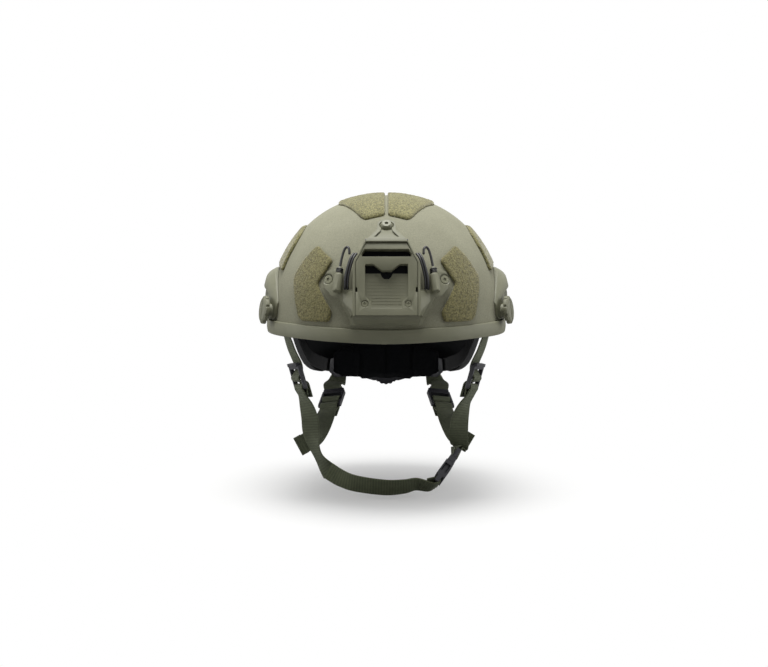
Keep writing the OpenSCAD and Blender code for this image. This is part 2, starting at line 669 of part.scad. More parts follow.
stem_r = 3;
stem_l = 3.6;
module knob(flip) {
  lobes = 10;
  color(moulded) mirrored(flip)
    on_skin(knob_at[0], knob_at[1], knob_off + 0.3) {
      difference() {
        union() {
          cylinder(r = 6, h = 0.8, $fn = 32);
          translate([0, 0, 0.7]) cylinder(r = knob_d / 2, h = knob_t - 2, $fn = 48);
          translate([0, 0, knob_t - 1.4]) cylinder(r1 = knob_d / 2, r2 = knob_d / 2 - 2.4, h = 1.4, $fn = 48);
        }
        for (i = [0 : lobes - 1])
          rotate(i * 360 / lobes) translate([knob_d / 2 + 1, 0, -1])
            cylinder(r = 1.9, h = knob_t + 4, $fn = 24);
        translate([-knob_d / 2, -0.8, knob_t - 1]) cube([knob_d, 1.6, 3]);
      }
      translate([0, 0, -stem_l]) cylinder(r = stem_r, h = stem_l + 0.1, $fn = 32);
    }
}

// pads

// How full a pad is across one of its directions: drawn in at the edges, with sewn channels.
function fullness(t, channels) =
  let (edge = 1 - pow(abs(2 * t - 1), 4),
       seam = channels == 0 ? 0 : max([for (c = [1 : channels]) exp(-pow((t - c / (channels + 1)) * 14, 2))]))
  pow(edge, 0.5) * (1 - 0.3 * seam);
function pad_face(u, v, channels) =
  -shell_t - liner_gap - pad_t * (0.35 + 0.65 * fullness(u, channels) * fullness(v, 0));

module side_pad(a0, a1, z0, z1, channels = 1, up = 8, across = 8) {
  rim = 0.06;
  at = function (i, j, off) let (v = i / up, u = j / across,
    corner = rim * pow(abs(2 * v - 1), 8))
    skin(mix(a0, a1, mix(corner, 1 - corner, u)), mix(z0, z1, v), off);
  back = [for (i = [0 : up]) [for (j = [0 : across]) at(i, j, -shell_t - liner_gap)]];
  face = [for (i = [0 : up]) [for (j = [0 : across]) at(i, j, pad_face(j / across, i / up, channels))]];
  color(black_foam) slab(back, face);
}

module pad_crown() {
  reach = [44, 58];
  n = 12;
  at = function (i, j, off) let (v = 2 * i / n - 1, u = 2 * j / n - 1,
    // a square grid eased into a rounded outline
    x = u * sqrt(1 - v * v * 0.42), y = v * sqrt(1 - u * u * 0.42))
    dome(x * reach[0], y * reach[1], off);
  back = [for (i = [0 : n]) [for (j = [0 : n]) at(i, j, -shell_t - liner_gap)]];
  face = [for (i = [0 : n]) [for (j = [0 : n]) at(i, j, pad_face(j / n, i / n, 1))]];
  color(black_foam) slab(back, face);
}
module pad_front() { side_pad(-33, 33, 12.5, 47, channels = 3, up = 8, across = 14); }
module pad_rear() { side_pad(156, 204, -14, 48, channels = 3, up = 8, across = 14); }
module pad_side(flip) { mirrored(flip) side_pad(72, 86.5, 33, 82); }
module pad_temple(flip) { mirrored(flip) side_pad(98.5, 115.5, 50, 92); }

// nape cradle

cradle_r = 82;
cradle_centre = [0, shell_rear - 38 - cradle_r];
cradle_z = [-60, -16];
nape_pad_t = 9;
carrier_t = 2.6;
function cradle_point(a, z, r) = [cradle_centre[0] + r * sin(a), cradle_centre[1] + r * cos(a), z];
nape_half_angle = asin(nape_w / 2 / cradle_r);
web_angle = 33;        // where the rear webbing leaves the cradle

module nape_pad() {
  up = 8;
  across = 16;
  at = function (i, j, thick) let (v = i / up, u = j / across, s = 2 * u - 1,
    z0 = cradle_z[0] + 10 * s * s * s * s - 1.5 * (1 - abs(s)), z1 = cradle_z[1] - 14 * pow(abs(s), 3),
    full = fullness(u, 3) * fullness(v, 0))
    cradle_point(mix(-nape_half_angle, nape_half_angle, u), mix(z0, z1, v),
                 cradle_r + (thick ? nape_pad_t * 0.65 * (1 - full) : nape_pad_t));
  back = [for (i = [0 : up]) [for (j = [0 : across]) at(i, j, false)]];
  face = [for (i = [0 : up]) [for (j = [0 : across]) at(i, j, true)]];
  color(black_foam) slab(face, back);
}

dial_z = -51.5;
dial_y = cradle_centre[1] + cradle_r + nape_pad_t + seat_gap + carrier_t;
housing_t = 5;
spool_r = 7;
// Outline of the carrier from the back, as [share of the cradle's radius, z].
carrier_outline = [[0.146, -27], [0.488, -30], [0.659, -34], [0.744, -36], [0.756, -50], [0.683, -56],
                   [0.366, -57], [0.171, -62]];
module carrier_plate() {
  r0 = cradle_r + nape_pad_t + seat_gap;
  intersection() {
    translate([cradle_centre[0], cradle_centre[1], -100])
      difference() {
        cylinder(r = r0 + carrier_t, h = 120, $fn = 120);
        translate([0, 0, -1]) cylinder(r = r0, h = 122, $fn = 120);
      }
    translate([0, 140, 0]) rotate([90, 0, 0])
      linear_extrude(120)
        both_sides([for (p = carrier_outline) [p[0] * cradle_r, p[1]]]);
  }
}
// Puts +Z along the dial's axis, at a distance behind its seat.
module at_dial(back) {
  translate([0, dial_y + back, dial_z]) rotate([-90, 0, 0]) children();
}
module nape_carrier() {
  color(black_plastic)
    difference() {
      union() {
        carrier_plate();
        at_dial(-1.2) cylinder(r = dial_d / 2 - 1.5, h = housing_t + 1.2, $fn = 48);
      }
      at_dial(-0.6) cylinder(r = spool_r + 0.3, h = housing_t + 2, $fn = 40);
      at_dial(-10) cylinder(r = 2.1, h = 20, $fn = 24);
      // slots for the rear webbing
      for (s = [-1, 1])
        aim(cradle_point(s * web_angle, -49, cradle_r + 12), [s * sin(web_angle), cos(web_angle), 0], [0, 0, 1])
          translate([-1.5, -web_w / 2 - 0.5, -12]) cube([3, web_w + 1, 24]);
    }
}

module dial_knob() {
  lobes = 18;
  color(black_plastic)
    at_dial(housing_t + 0.3)
      difference() {
        union() {
          cylinder(r = dial_d / 2, h = 7, $fn = 72);
          translate([0, 0, 7]) cylinder(r1 = dial_d / 2 - 0.6, r2 = dial_d / 2 - 3, h = 1.6, $fn = 72);
        }
        for (i = [0 : lobes - 1])
          rotate(i * 360 / lobes) translate([dial_d / 2 + 0.7, 0, -1]) cylinder(r = 1.7, h = 12, $fn = 16);
        translate([0, 0, -1]) cylinder(r = 2, h = 6, $fn = 24);
      }
}
module dial_spool() {
  teeth = 12;
  color(steel)
    at_dial(-0.3) {
      difference() {
        cylinder(r = spool_r, h = housing_t - 0.4, $fn = 40);
        for (i = [0 : teeth - 1])
          rotate(i * 360 / teeth) translate([spool_r, 0, -1]) cylinder(r = 1, h = housing_t + 2, $fn = 16);
      }
      translate([0, 0, housing_t - 0.5]) cylinder(r = 1.9, h = 5, $fn = 24);
      translate([0, 0, -2.2]) cylinder(r = 1.9, h = 2.3, $fn = 24);
    }
}

// webbing

// Flat strap through keys of [point, direction of its width].
module ribbon(keys, steps = 4, w = web_w, t = web_t) {
  p = smooth([for (k = keys) k[0]], steps);
  d = smooth([for (k = keys) k[1]], steps);
  n = len(p);
  sweep([for (i = [0 : n - 1])
    let (run = unit(p[min(i + 1, n - 1)] - p[max(i - 1, 0)]), up = unit(cross(run, d[i])),
         across = cross(up, run))
    [for (c = [[-1, -1], [1, -1], [1, 1], [-1, 1]]) p[i] + c[0] * w / 2 * across + c[1] * t / 2 * up]]);
}

// A place on an adjuster: its pivot bar, the direction up its strap and the direction of its width.
front_lock_at = [[84.5, -40, -50.5], unit([5.4, 0, 19.5]), unit([0.47, 0.88, 0])];
rear_lock_at = [[60, 48, -81], unit([-8, 36, 22]), unit([0.97, 0.34, -0.1])];
function lock_across(k) = unit(k[2] - (k[2] * k[1]) * k[1]);
function lock_out(k) = cross(lock_across(k), k[1]);
// Point beside an adjuster: up its strap, out of its face.
function by_lock(k, up, out) = k[0] + up * k[1] + out * lock_out(k);

pivot_r = 1.6;
loop_r = pivot_r + seat_gap + web_t / 2;
lock_w = web_w + 6;
mid_bar = 9.5;
module lock(k) {
  side = 2.3;
  grip = 3.4;
  color(black_plastic)
    aim(k[0], lock_out(k), lock_across(k)) {
      rotate([0, 90, 0]) translate([0, 0, -lock_w / 2]) cylinder(r = pivot_r, h = lock_w, $fn = 24);
      for (s = [-1, 1])
        translate([s * (lock_w - side) / 2 - side / 2, 0, -lock_t / 2]) {
          cube([side, lock_l, lock_t]);
          translate([0, 0, lock_t / 2]) rotate([0, 90, 0]) cylinder(r = lock_t / 2, h = side, $fn = 32);
        }
      translate([-lock_w / 2 + 0.5, mid_bar - 1.4, -1.5]) cube([lock_w - 1, 2.8, 3]);
      translate([-lock_w / 2, lock_l - grip, -lock_t / 2]) cube([lock_w, grip, lock_t]);
      translate([-lock_w / 2 + 1.2, lock_l - 0.6, -lock_t / 2 + 1.2]) cube([lock_w - 2.4, 3.2, lock_t]);
    }
}

// Strap end folded round an adjuster's pivot bar, as keys for a ribbon.
function pivot_loop(k) = let (w = lock_across(k)) [
  [by_lock(k, -9, -1), w], [by_lock(k, -5, -1.6), w], [by_lock(k, -1.2, -loop_r), w],
  [by_lock(k, loop_r * 0.72, -loop_r * 0.72), w], [by_lock(k, loop_r, 0), w],
  [by_lock(k, loop_r * 0.72, loop_r * 0.72), w], [by_lock(k, -1.2, loop_r), w], [by_lock(k, -5, 1.8), w],
  [by_lock(k, -9, 0.9), w]];
// Webbing threaded over an adjuster's middle bar, from its tail up.
function threaded(k) = let (w = lock_across(k)) [
  [by_lock(k, -12, -5.2), w], [by_lock(k, -4, -5.2), w], [by_lock(k, 2, -5), w], [by_lock(k, 5, -2.6), w],
  [by_lock(k, 6.2, 0.8), w], [by_lock(k, mid_bar - 1.3, 3), w], [by_lock(k, mid_bar + 1.3, 3), w],
  [by_lock(k, 13, 0.4), w], [by_lock(k, 15.6, -2.3), w], [by_lock(k, lock_l - 3, -3.5), w],
  [by_lock(k, lock_l + 3, -3.5), w]];

front_anchor = rail_holes[0];
anchor_off = -through - seat_gap - web_t / 2;
module front_web(flip) {
  across = [0.23, 0.97, 0];
  color(webbing) mirrored(flip)
    ribbon(concat(threaded(front_lock_at), [
      [[93, -41.5, -14], [0.45, 0.9, 0]], [[96.5, -43.5, -3], [0.4, 0.92, 0]],
      [skin(front_anchor[0], 10, anchor_off - 1), across],
      [skin(front_anchor[0], front_anchor[1], anchor_off), across],
      [skin(front_anchor[0], front_anchor[1] + 9, anchor_off), across]]), steps = 3);
}
module front_lock(flip) { mirrored(flip) lock(front_lock_at); }

module cheek_strap(flip) {
  run = flip
    ? [[[79.5, -40, -68], [0.72, 0.69, 0]], [[76, -40, -81], [0.88, 0.45, 0]],
       [[74.6, -40, -95], [0.88, 0.42, 0]], [[72, -40.5, -109], [0.66, 0.74, 0.12]],
       [[66, -40.5, -122], [0.6, 0.75, 0.05]], [[57.5, -41.5, -133.5], [0.75, 0.3, -0.58]]]
    : concat([[[77.5, -40, -68], [0.66, 0.75, 0]], [[73.4, -39, -81], [0.9, 0.43, 0]],
              [[72, -36.5, -95], [0.98, 0.15, 0]], [[72.2, -33.5, -104.5], [0.95, -0.3, 0.1]]],
             bar_loop(plug_bar, 1, [0.24, 0.5, 0.83], [0.54, -0.75, 0.37]));
  color(webbing) mirrored(flip) ribbon(concat(pivot_loop(front_lock_at), run), steps = 3);
}

nape_slot = cradle_point(web_angle, -49, cradle_r + nape_pad_t + seat_gap + carrier_t + 1.2);
module rear_web(flip) {
  across = unit([0.84, -0.54, 0]);
  color(webbing) mirrored(flip)
    ribbon(concat(threaded(rear_lock_at), [
      [[59, 88, -64], [0.95, 0.1, 0]], [nape_slot + [1, 1.5, -11], across],
      [nape_slot + [0.3, 0.4, 2], across], [nape_slot + [0.3, 0.4, 8], across]]), steps = 3);
}
module rear_lock(flip) { mirrored(flip) lock(rear_lock_at); }

module rear_strap(flip) {
  run = [[[64.5, 20, -92], [0.9, 0.2, 0.3]], [[68, -8, -99], [0.7, 0.1, 0.7]],
         [[71.5, flip ? -23 : -16, -103], [0.5, 0, 0.85]]];
  foot = flip
    ? [[[79.5, -28.5, -107.5], [0.46, 0, 0.88]], [[88, -30, -112], [0.5, 0, 0.86]]]
    : [[[78, -22, -106.6], [0.5, 0, 0.85]], [[83.6, -24, -109.8], [0.6, 0, 0.8]]];
  color(webbing) mirrored(flip) ribbon(concat(pivot_loop(rear_lock_at), run, foot), steps = 3);
}

// buckle

// Foot of the socket, the buckle's run up to the plug and the direction of its width.
buckle_at = [[47.4, -49.2, -146.3], unit([0.57, 0.455, 0.685]), unit([0.2, -0.8, 0.55])];
function buckle_point(run, out) = by_lock(buckle_at, run, out);
// Strap end folded round one of the buckle's bars, which lies at run. It comes from side s, along
// way, and is turned to far where it leaves the bar.
function bar_loop(run, s, way, far) = let (w = lock_across(buckle_at), c = buckle_point(run, 0),
  t = unit(way - (way * w) * w), o = cross(w, t), at = function (u, v) c + u * s * t + v * o) [
  [at(8, -2.6), far], [at(2, -loop_r - 0.2), w], [at(-loop_r * 0.72, -loop_r * 0.72), w], [at(-loop_r, 0), w],
  [at(-loop_r * 0.72, loop_r * 0.72), w], [at(2, loop_r), w], [at(9, 1.4), far]];
module at_buckle() {
  aim(buckle_at[0], cross(lock_across(buckle_at), buckle_at[1]), lock_across(buckle_at)) children();
}
buckle_bar = 2.6;
socket_solid = 8.5;
prong_gap = 0.5;

module buckle_socket() {
  w = buckle_w;
  t = buckle_t;
  color(black_plastic) at_buckle()
    difference() {
      union() {
        translate([-w / 2, socket_solid - 2, -t / 2]) cube([w, buckle_l - socket_solid + 2, t]);
        for (s = [-1, 1]) translate([s * (w / 2 - 1.5) - 1.5, 0, -2.4]) cube([3, socket_solid, 4.8]);
        translate([-w / 2, buckle_bar, 0]) rotate([0, 90, 0]) cylinder(r = pivot_r, h = w, $fn = 24);
      }
      translate([-w / 2 + 2, socket_solid + 2, -t / 2 + 2]) cube([w - 4, buckle_l, t - 4]);
      // windows for the prongs' buttons
      for (s = [-1, 1]) translate([s * w / 2 - 4, socket_solid + 3.5, -t / 2 + 1.6]) cube([8, 9, t - 3.2]);
    }
}

plug_l = 16;
plug_bar = buckle_l + prong_gap + plug_l - 3;
module buckle_plug() {
  t = buckle_t - 4 - 2 * prong_gap;
  w = buckle_w - 4 - 2 * prong_gap;
  y0 = buckle_l + prong_gap;
  color(black_plastic) at_buckle() {
    translate([-w / 2 - 1.5, y0, -buckle_t / 2 + 0.8]) cube([w + 3, 6, buckle_t - 1.6]);
    translate([-2, y0 - 15, -t / 2]) cube([4, 15.1, t]);
    for (s = [-1, 1])
      translate([s * (w / 2 - 2) - 1.4, y0 - 13.5, -t / 2]) {
        cube([2.8, 13.6, t]);
        translate([s > 0 ? 0 : -0.9, 0.3, 0]) cube([3.7, 6.5, t]);
      }
    for (s = [-1, 1]) translate([s * (web_w / 2 + 1.9) - 1.5, y0 + 5.9, -2.2]) cube([3, plug_l - 6, 4.4]);
    translate([-w / 2 - 1.5, plug_bar, 0]) rotate([0, 90, 0]) cylinder(r = pivot_r, h = w + 3, $fn = 24);
  }
}

// The band round the chin, sewn to the right cheek strap and looped through the socket's bar.
chin_route = [
  [[-57.5, -46.8, -132.8], [0.05, -0.25, 0.97]], [[-45.4, -49, -139.9], [0.1, -0.3, 0.94]],
  [[-30, -53.5, -144.6], [0.06, -0.4, 0.9]], [[-2, -57.5, -147.7], [0, -0.47, 0.88]],
  [[17, -56, -147.2], [-0.02, -0.56, 0.83]], [[29, -54, -145.3], [-0.02, -0.66, 0.75]]];
module chin_band() {
  color(webbing)
    ribbon(concat(chin_route, bar_loop(buckle_bar, -1, [0.97, 0.2, 0.23], [0.02, -0.78, 0.62])), steps = 3);
}

// Headband strips from the carrier's ends forward to the temples.
module band(flip) {
  end = cradle_point(40, -43, cradle_r + nape_pad_t + seat_gap + carrier_t + seat_gap + 0.8);
  color(black_plastic) mirrored(flip)
    ribbon([[end, [0, 0, 1]], [end + [8, -9, 3], [0, 0, 1]], [[82, 66, -30], [0, 0.3, 1]],
            [[92, 44, -6], [0, 0.75, 0.65]], [[97, 24, 18], [0, 0.85, 0.5]],
            [skin(rail_holes[1][0], 36, anchor_off - 1.5), [0, 1, 0.1]],
            [skin(rail_holes[1][0], rail_holes[1][1], anchor_off), [0, 1, 0]],
            [skin(rail_holes[1][0], rail_holes[1][1] + 7, anchor_off), [0, 1, 0]]], steps = 3, w = 14, t = 1.4);
}

shell();
edge_trim();
front_patch(false);  // front_patch_left
front_patch(true);  // front_patch_right
top_patch_front(false);  // top_patch_front_left
top_patch_front(true);  // top_patch_front_right
top_patch_rear(false);  // top_patch_rear_left
top_patch_rear(true);  // top_patch_rear_right
side_patch(false);  // side_patch_left
side_patch(true);  // side_patch_right
rear_patch();
rear_side_patch(false);  // rear_side_patch_left
rear_side_patch(true);  // rear_side_patch_right
shroud_frame();
shroud_insert();
shroud_screws();
insert_screws();
lip_pin();
bungee(false);  // bungee_left
bungee(true);  // bungee_right
hook_grip(false);  // hook_grip_left
hook_grip(true);  // hook_grip_right
hook_wire(false);  // hook_wire_left
hook_wire(true);  // hook_wire_right
rail(false);  // rail_left
rail(true);  // rail_right
rail_screws();
inner_nuts();
knob(false);  // knob_left
knob(true);  // knob_right
pad_crown();
pad_front();
pad_rear();
pad_side(false);  // pad_side_left
pad_side(true);  // pad_side_right
pad_temple(false);  // pad_rear_left
pad_temple(true);  // pad_rear_right
band(false);  // band_left
band(true);  // band_right
nape_carrier();
nape_pad();
dial_knob();
dial_spool();
front_web(false);  // front_web_left
front_web(true);  // front_web_right
front_lock(false);  // front_lock_left
front_lock(true);  // front_lock_right
cheek_strap(false);  // cheek_strap_left
cheek_strap(true);  // cheek_strap_right
rear_web(false);  // rear_web_left
rear_web(true);  // rear_web_right
rear_lock(false);  // rear_lock_left
rear_lock(true);  // rear_lock_right
rear_strap(false);  // rear_strap_left
rear_strap(true);  // rear_strap_right
chin_band();
buckle_socket();
buckle_plug();
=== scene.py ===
"""Dressed model of a high-cut combat helmet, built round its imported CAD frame.

Lengths are in metres in the frame's own axes: +Z up, the face along -Y, +X to the wearer's left.
"""

from __future__ import annotations

import json
import logging
import math
from collections.abc import Callable, Sequence
from dataclasses import dataclass, replace
from enum import Enum
from typing import Any

import bmesh
import bpy
import numpy as np
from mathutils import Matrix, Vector, noise

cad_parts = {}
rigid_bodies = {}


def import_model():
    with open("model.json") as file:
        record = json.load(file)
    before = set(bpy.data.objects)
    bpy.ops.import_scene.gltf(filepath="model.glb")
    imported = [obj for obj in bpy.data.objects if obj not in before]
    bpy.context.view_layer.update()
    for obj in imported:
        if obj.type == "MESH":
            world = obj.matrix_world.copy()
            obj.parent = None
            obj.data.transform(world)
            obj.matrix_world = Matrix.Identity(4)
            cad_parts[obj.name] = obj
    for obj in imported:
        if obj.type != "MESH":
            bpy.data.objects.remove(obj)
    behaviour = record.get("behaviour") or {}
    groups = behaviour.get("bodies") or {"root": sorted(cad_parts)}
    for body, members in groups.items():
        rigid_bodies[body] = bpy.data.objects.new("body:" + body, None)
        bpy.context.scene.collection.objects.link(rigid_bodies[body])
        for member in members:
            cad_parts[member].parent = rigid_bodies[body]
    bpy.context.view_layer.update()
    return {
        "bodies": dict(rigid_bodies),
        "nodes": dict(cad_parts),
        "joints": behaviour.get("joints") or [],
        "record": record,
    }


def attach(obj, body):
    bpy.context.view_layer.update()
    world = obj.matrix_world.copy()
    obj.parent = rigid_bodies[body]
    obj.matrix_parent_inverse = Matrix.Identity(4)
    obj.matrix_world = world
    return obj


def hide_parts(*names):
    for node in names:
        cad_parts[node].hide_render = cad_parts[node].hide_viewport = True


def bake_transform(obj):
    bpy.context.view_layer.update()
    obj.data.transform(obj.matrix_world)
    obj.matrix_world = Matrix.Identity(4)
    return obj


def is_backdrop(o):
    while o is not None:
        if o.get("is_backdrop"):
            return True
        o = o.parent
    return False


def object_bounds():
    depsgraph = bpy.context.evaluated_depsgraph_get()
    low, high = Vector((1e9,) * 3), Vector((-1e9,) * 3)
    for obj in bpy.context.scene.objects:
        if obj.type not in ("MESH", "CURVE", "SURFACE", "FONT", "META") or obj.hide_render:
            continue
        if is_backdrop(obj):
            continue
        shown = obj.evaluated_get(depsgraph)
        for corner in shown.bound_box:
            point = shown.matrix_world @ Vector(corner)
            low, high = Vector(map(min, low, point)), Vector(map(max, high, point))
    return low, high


LOG = logging.getLogger("helmet")
MM = 0.001

# Sizes in millimetres that several pieces share, as in the CAD model.
SEAT_GAP = 0.35
WEB_THICK = 1.6
PIVOT_RADIUS = 1.6
NUT_GAP = 1
NUT_FLANGE = 1.6

Point = tuple[float, float, float]
Keys = Sequence[tuple[float, float]]
Edges = Sequence[Point]
StrapKeys = list[tuple[Point, Point]]
Faces = list[tuple[int, ...]]
Tree = bpy.types.NodeTree
Node = bpy.types.Node
Socket = bpy.types.NodeSocket


class Side(Enum):
    """The wearer's two sides, with the sign of X on each."""

    LEFT = 1
    RIGHT = -1

    @property
    def word(self) -> str:
        """The side's name as the nodes write it."""
        return self.name.lower()


def linear(colour: str) -> tuple[float, float, float, float]:
    """Turn an sRGB hex colour into linear values.

    Args:
        colour: Six hex digits after a hash sign.

    Returns:
        Linear red, green, blue and an alpha of one.
    """
    parts = [int(colour[i : i + 2], 16) / 255 for i in (1, 3, 5)]
    red, green, blue = (p / 12.92 if p <= 0.04045 else ((p + 0.055) / 1.055) ** 2.4 for p in parts)
    return red, green, blue, 1.0


def add_node(tree: Tree, kind: str, inputs: dict | None = None, **settings: Any) -> Node:
    """Add a shader or geometry node with its settings, values and links.

    Args:
        tree: Node tree that takes the node.
        kind: Blender's name for the node's type.
        inputs: Input name or index, with the value or the output socket that feeds it.
        settings: Properties of the node.

    Returns:
        The new node.
    """
    node = tree.nodes.new(kind)
    for name, value in settings.items():
        setattr(node, name, value)
    for key, value in (inputs or {}).items():
        if isinstance(value, Socket):
            tree.links.new(value, node.inputs[key])
        else:
            node.inputs[key].default_value = value
    return node


@dataclass(frozen=True)
class Finish:
    """A surface that starts from a real material.

    Attributes:
        name: What the material is.
        light: Colour of its lighter parts.
        dark: Colour of its darker parts.
        patch_mm: Size of the patches in which the two colours mix.
        roughness: How matt it is.
        ior: Index of refraction.
        grain_mm: Size of the relief's grain, drawn as coarse as it needs to show.
        relief_mm: Height of the relief.
        metallic: One for bare metal.
        sheen: Strength of the fuzz that catches light at a slant.
        contrast: How sharply the two colours part.
    """

    name: str
    light: str
    dark: str
    patch_mm: float = 12.0
    roughness: float = 0.7
    ior: float = 1.5
    grain_mm: float = 1.0
    relief_mm: float = 0.05
    metallic: float = 0.0
    sheen: float = 0.0
    contrast: float = 0.5

    def material(self) -> bpy.types.Material:
        """Build the material once, and hand the same one back after that.

        Returns:
            The material.
        """
        found = bpy.data.materials.get(self.name)
        if found is not None:
            return found
        made = bpy.data.materials.new(self.name)
        made.use_nodes = True
        tree = made.node_tree
        tree.nodes.clear()
        out = add_node(tree, "ShaderNodeOutputMaterial")
        shader = add_node(
            tree,
            "ShaderNodeBsdfPrincipled",
            {"Roughness": self.roughness, "IOR": self.ior, "Metallic": self.metallic, "Sheen Weight": self.sheen},
        )
        tree.links.new(shader.outputs[0], out.inputs["Surface"])
        where = add_node(tree, "ShaderNodeTexCoord")
        tree.links.new(self.colour(tree, where), shader.inputs["Base Color"])
        tree.links.new(self.relief(tree, where), shader.inputs["Normal"])
        return made

    def features(self, where: Node, size_mm: float, detail: float) -> dict[str, Any]:
        """Inputs of soft noise whose features have a real size."""
        return {"Vector": where.outputs["Object"], "Scale": 1 / (size_mm * MM), "Detail": detail, "Roughness": 0.6}

    def toned(self, tree: Tree, base: Socket, tone: Socket) -> Socket:
        """Multiply a colour by a grey tone.

        Args:
            tree: Node tree of the material.
            base: Colour.
            tone: Grey value, at which one leaves the colour as it is.

        Returns:
            The toned colour.
        """
        grey = add_node(tree, "ShaderNodeCombineColor", {i: tone for i in range(3)})
        mixed = add_node(
            tree, "ShaderNodeMix", {0: 1.0, 6: base, 7: grey.outputs[0]}, data_type="RGBA", blend_type="MULTIPLY"
        )
        return mixed.outputs[2]

    def colour(self, tree: Tree, where: Node) -> Socket:
        """Mix the light and the dark colour in patches.

        Args:
            tree: Node tree of the material.
            where: Texture coordinates.

        Returns:
            The base colour.
        """
        blotch = add_node(tree, "ShaderNodeTexNoise", self.features(where, self.patch_mm, 4))
        # Noise stays near a half, so it is stretched over the whole range from nought to one.
        low = 0.5 * (1 - self.contrast)
        share = add_node(
            tree, "ShaderNodeMapRange", {"Value": blotch.outputs["Fac"], "From Min": low, "From Max": 1 - low}
        )
        mixed = add_node(
            tree,
            "ShaderNodeMix",
            {0: share.outputs["Result"], 6: linear(self.dark), 7: linear(self.light)},
            data_type="RGBA",
        )
        return mixed.outputs[2]

    def relief(self, tree: Tree, where: Node) -> Socket:
        """Raise a fine grain.

        Args:
            tree: Node tree of the material.
            where: Texture coordinates.

        Returns:
            The shading normal.
        """
        grain = add_node(tree, "ShaderNodeTexNoise", self.features(where, self.grain_mm, 3))
        bump = add_node(
            tree, "ShaderNodeBump", {"Height": grain.outputs["Fac"], "Distance": self.relief_mm * MM, "Strength": 1.0}
        )
        return bump.outputs["Normal"]


@dataclass(frozen=True)
class GritCoat(Finish):
    """Polyurethane coat with silica grit, sprayed on the laminate: matt and sandy, with tiny pits and pale grains."""

    speck_mm: float = 1.1
    pit: float = 0.86
    grit: float = 1.12

    def colour(self, tree: Tree, where: Node) -> Socket:
        """Lay specks of grit over the coat's slow changes of tone.

        Args:
            tree: Node tree of the material.
            where: Texture coordinates.

        Returns:
            The base colour.
        """
        base = super().colour(tree, where)
        speck = add_node(tree, "ShaderNodeTexNoise", self.features(where, self.speck_mm, 2))
        amount = add_node(
            tree,
            "ShaderNodeMapRange",
            {
                "Value": speck.outputs["Fac"],
                "From Min": 0.3,
                "From Max": 0.7,
                "To Min": self.pit,
                "To Max": self.grit,
            },
        )
        return self.toned(tree, base, amount.outputs["Result"])


@dataclass(frozen=True)
class LoopPile(Finish):
    """Knitted nylon loop pile: tangled olive loops with painted shade in the gaps between their tufts, and a soft
    bloom.
    """

    # Colour of the painted shade in the gaps between tufts.
    deep: str = "#4A4628"
    tuft_mm: float = 1.5

    def colour(self, tree: Tree, where: Node) -> Socket:
        """Paint shade into the gaps between tufts.

        Args:
            tree: Node tree of the material.
            where: Texture coordinates.

        Returns:
            The base colour.
        """
        base = super().colour(tree, where)
        tufts = add_node(
            tree,
            "ShaderNodeTexVoronoi",
            {"Vector": where.outputs["Object"], "Scale": 1 / (self.tuft_mm * MM), "Randomness": 1.0},
            feature="F1",
        )
        # Share of painted shade, rising towards the gaps between tufts.
        gap = add_node(
            tree,
            "ShaderNodeMapRange",
            {"Value": tufts.outputs["Distance"], "From Min": 0.35, "From Max": 0.85, "To Max": 0.85},
        )
        mixed = add_node(
            tree, "ShaderNodeMix", {0: gap.outputs["Result"], 6: base, 7: linear(self.deep)}, data_type="RGBA"
        )
        return mixed.outputs[2]


@dataclass(frozen=True)
class Webbing(Finish):
    """Woven nylon webbing: fine warp threads along the strap, crossed by ribs, with painted shade in the grooves and
    a painted highlight on the crests. It needs the strap's own map.
    """

    rib_mm: float = 2.7
    thread_mm: float = 0.9
    # Tones of the painted shade in the grooves and of the painted highlight on the crests.
    groove: float = 0.62
    crest: float = 1.12

    def crests(self, strap: Node, pitch_mm: float) -> dict[str, Any]:
        """Inputs of an even wave whose crests are a real distance apart."""
        return {"Vector": strap.outputs[0], "Scale": math.pi / (10 * pitch_mm * MM), "Distortion": 0.0}

    def colour(self, tree: Tree, where: Node) -> Socket:
        """Paint shade into the grooves between threads and between ribs, and a highlight on their crests.

        Args:
            tree: Node tree of the material.
            where: Texture coordinates.

        Returns:
            The base colour.
        """
        base = super().colour(tree, where)
        strap = add_node(tree, "ShaderNodeUVMap", uv_map="strap")
        ribs = add_node(tree, "ShaderNodeTexWave", self.crests(strap, self.rib_mm), bands_direction="Y")
        threads = add_node(tree, "ShaderNodeTexWave", self.crests(strap, self.thread_mm), bands_direction="X")
        both = add_node(
            tree, "ShaderNodeMath", {0: ribs.outputs["Fac"], 1: threads.outputs["Fac"]}, operation="ADD"
        )
        shade = add_node(
            tree,
            "ShaderNodeMapRange",
            {"Value": both.outputs[0], "From Max": 2.0, "To Min": self.groove, "To Max": self.crest},
        )
        return self.toned(tree, base, shade.outputs["Result"])

    def relief(self, tree: Tree, where: Node) -> Socket:
        """Raise the threads.

        Args:
            tree: Node tree of the material.
            where: Texture coordinates.

        Returns:
            The shading normal.
        """
        strap = add_node(tree, "ShaderNodeUVMap", uv_map="strap")
        threads = add_node(tree, "ShaderNodeTexWave", self.crests(strap, self.thread_mm), bands_direction="X")
        bump = add_node(
            tree,
            "ShaderNodeBump",
            {"Height": threads.outputs["Fac"], "Distance": self.relief_mm * MM, "Strength": 1.0},
        )
        return bump.outputs["Normal"]


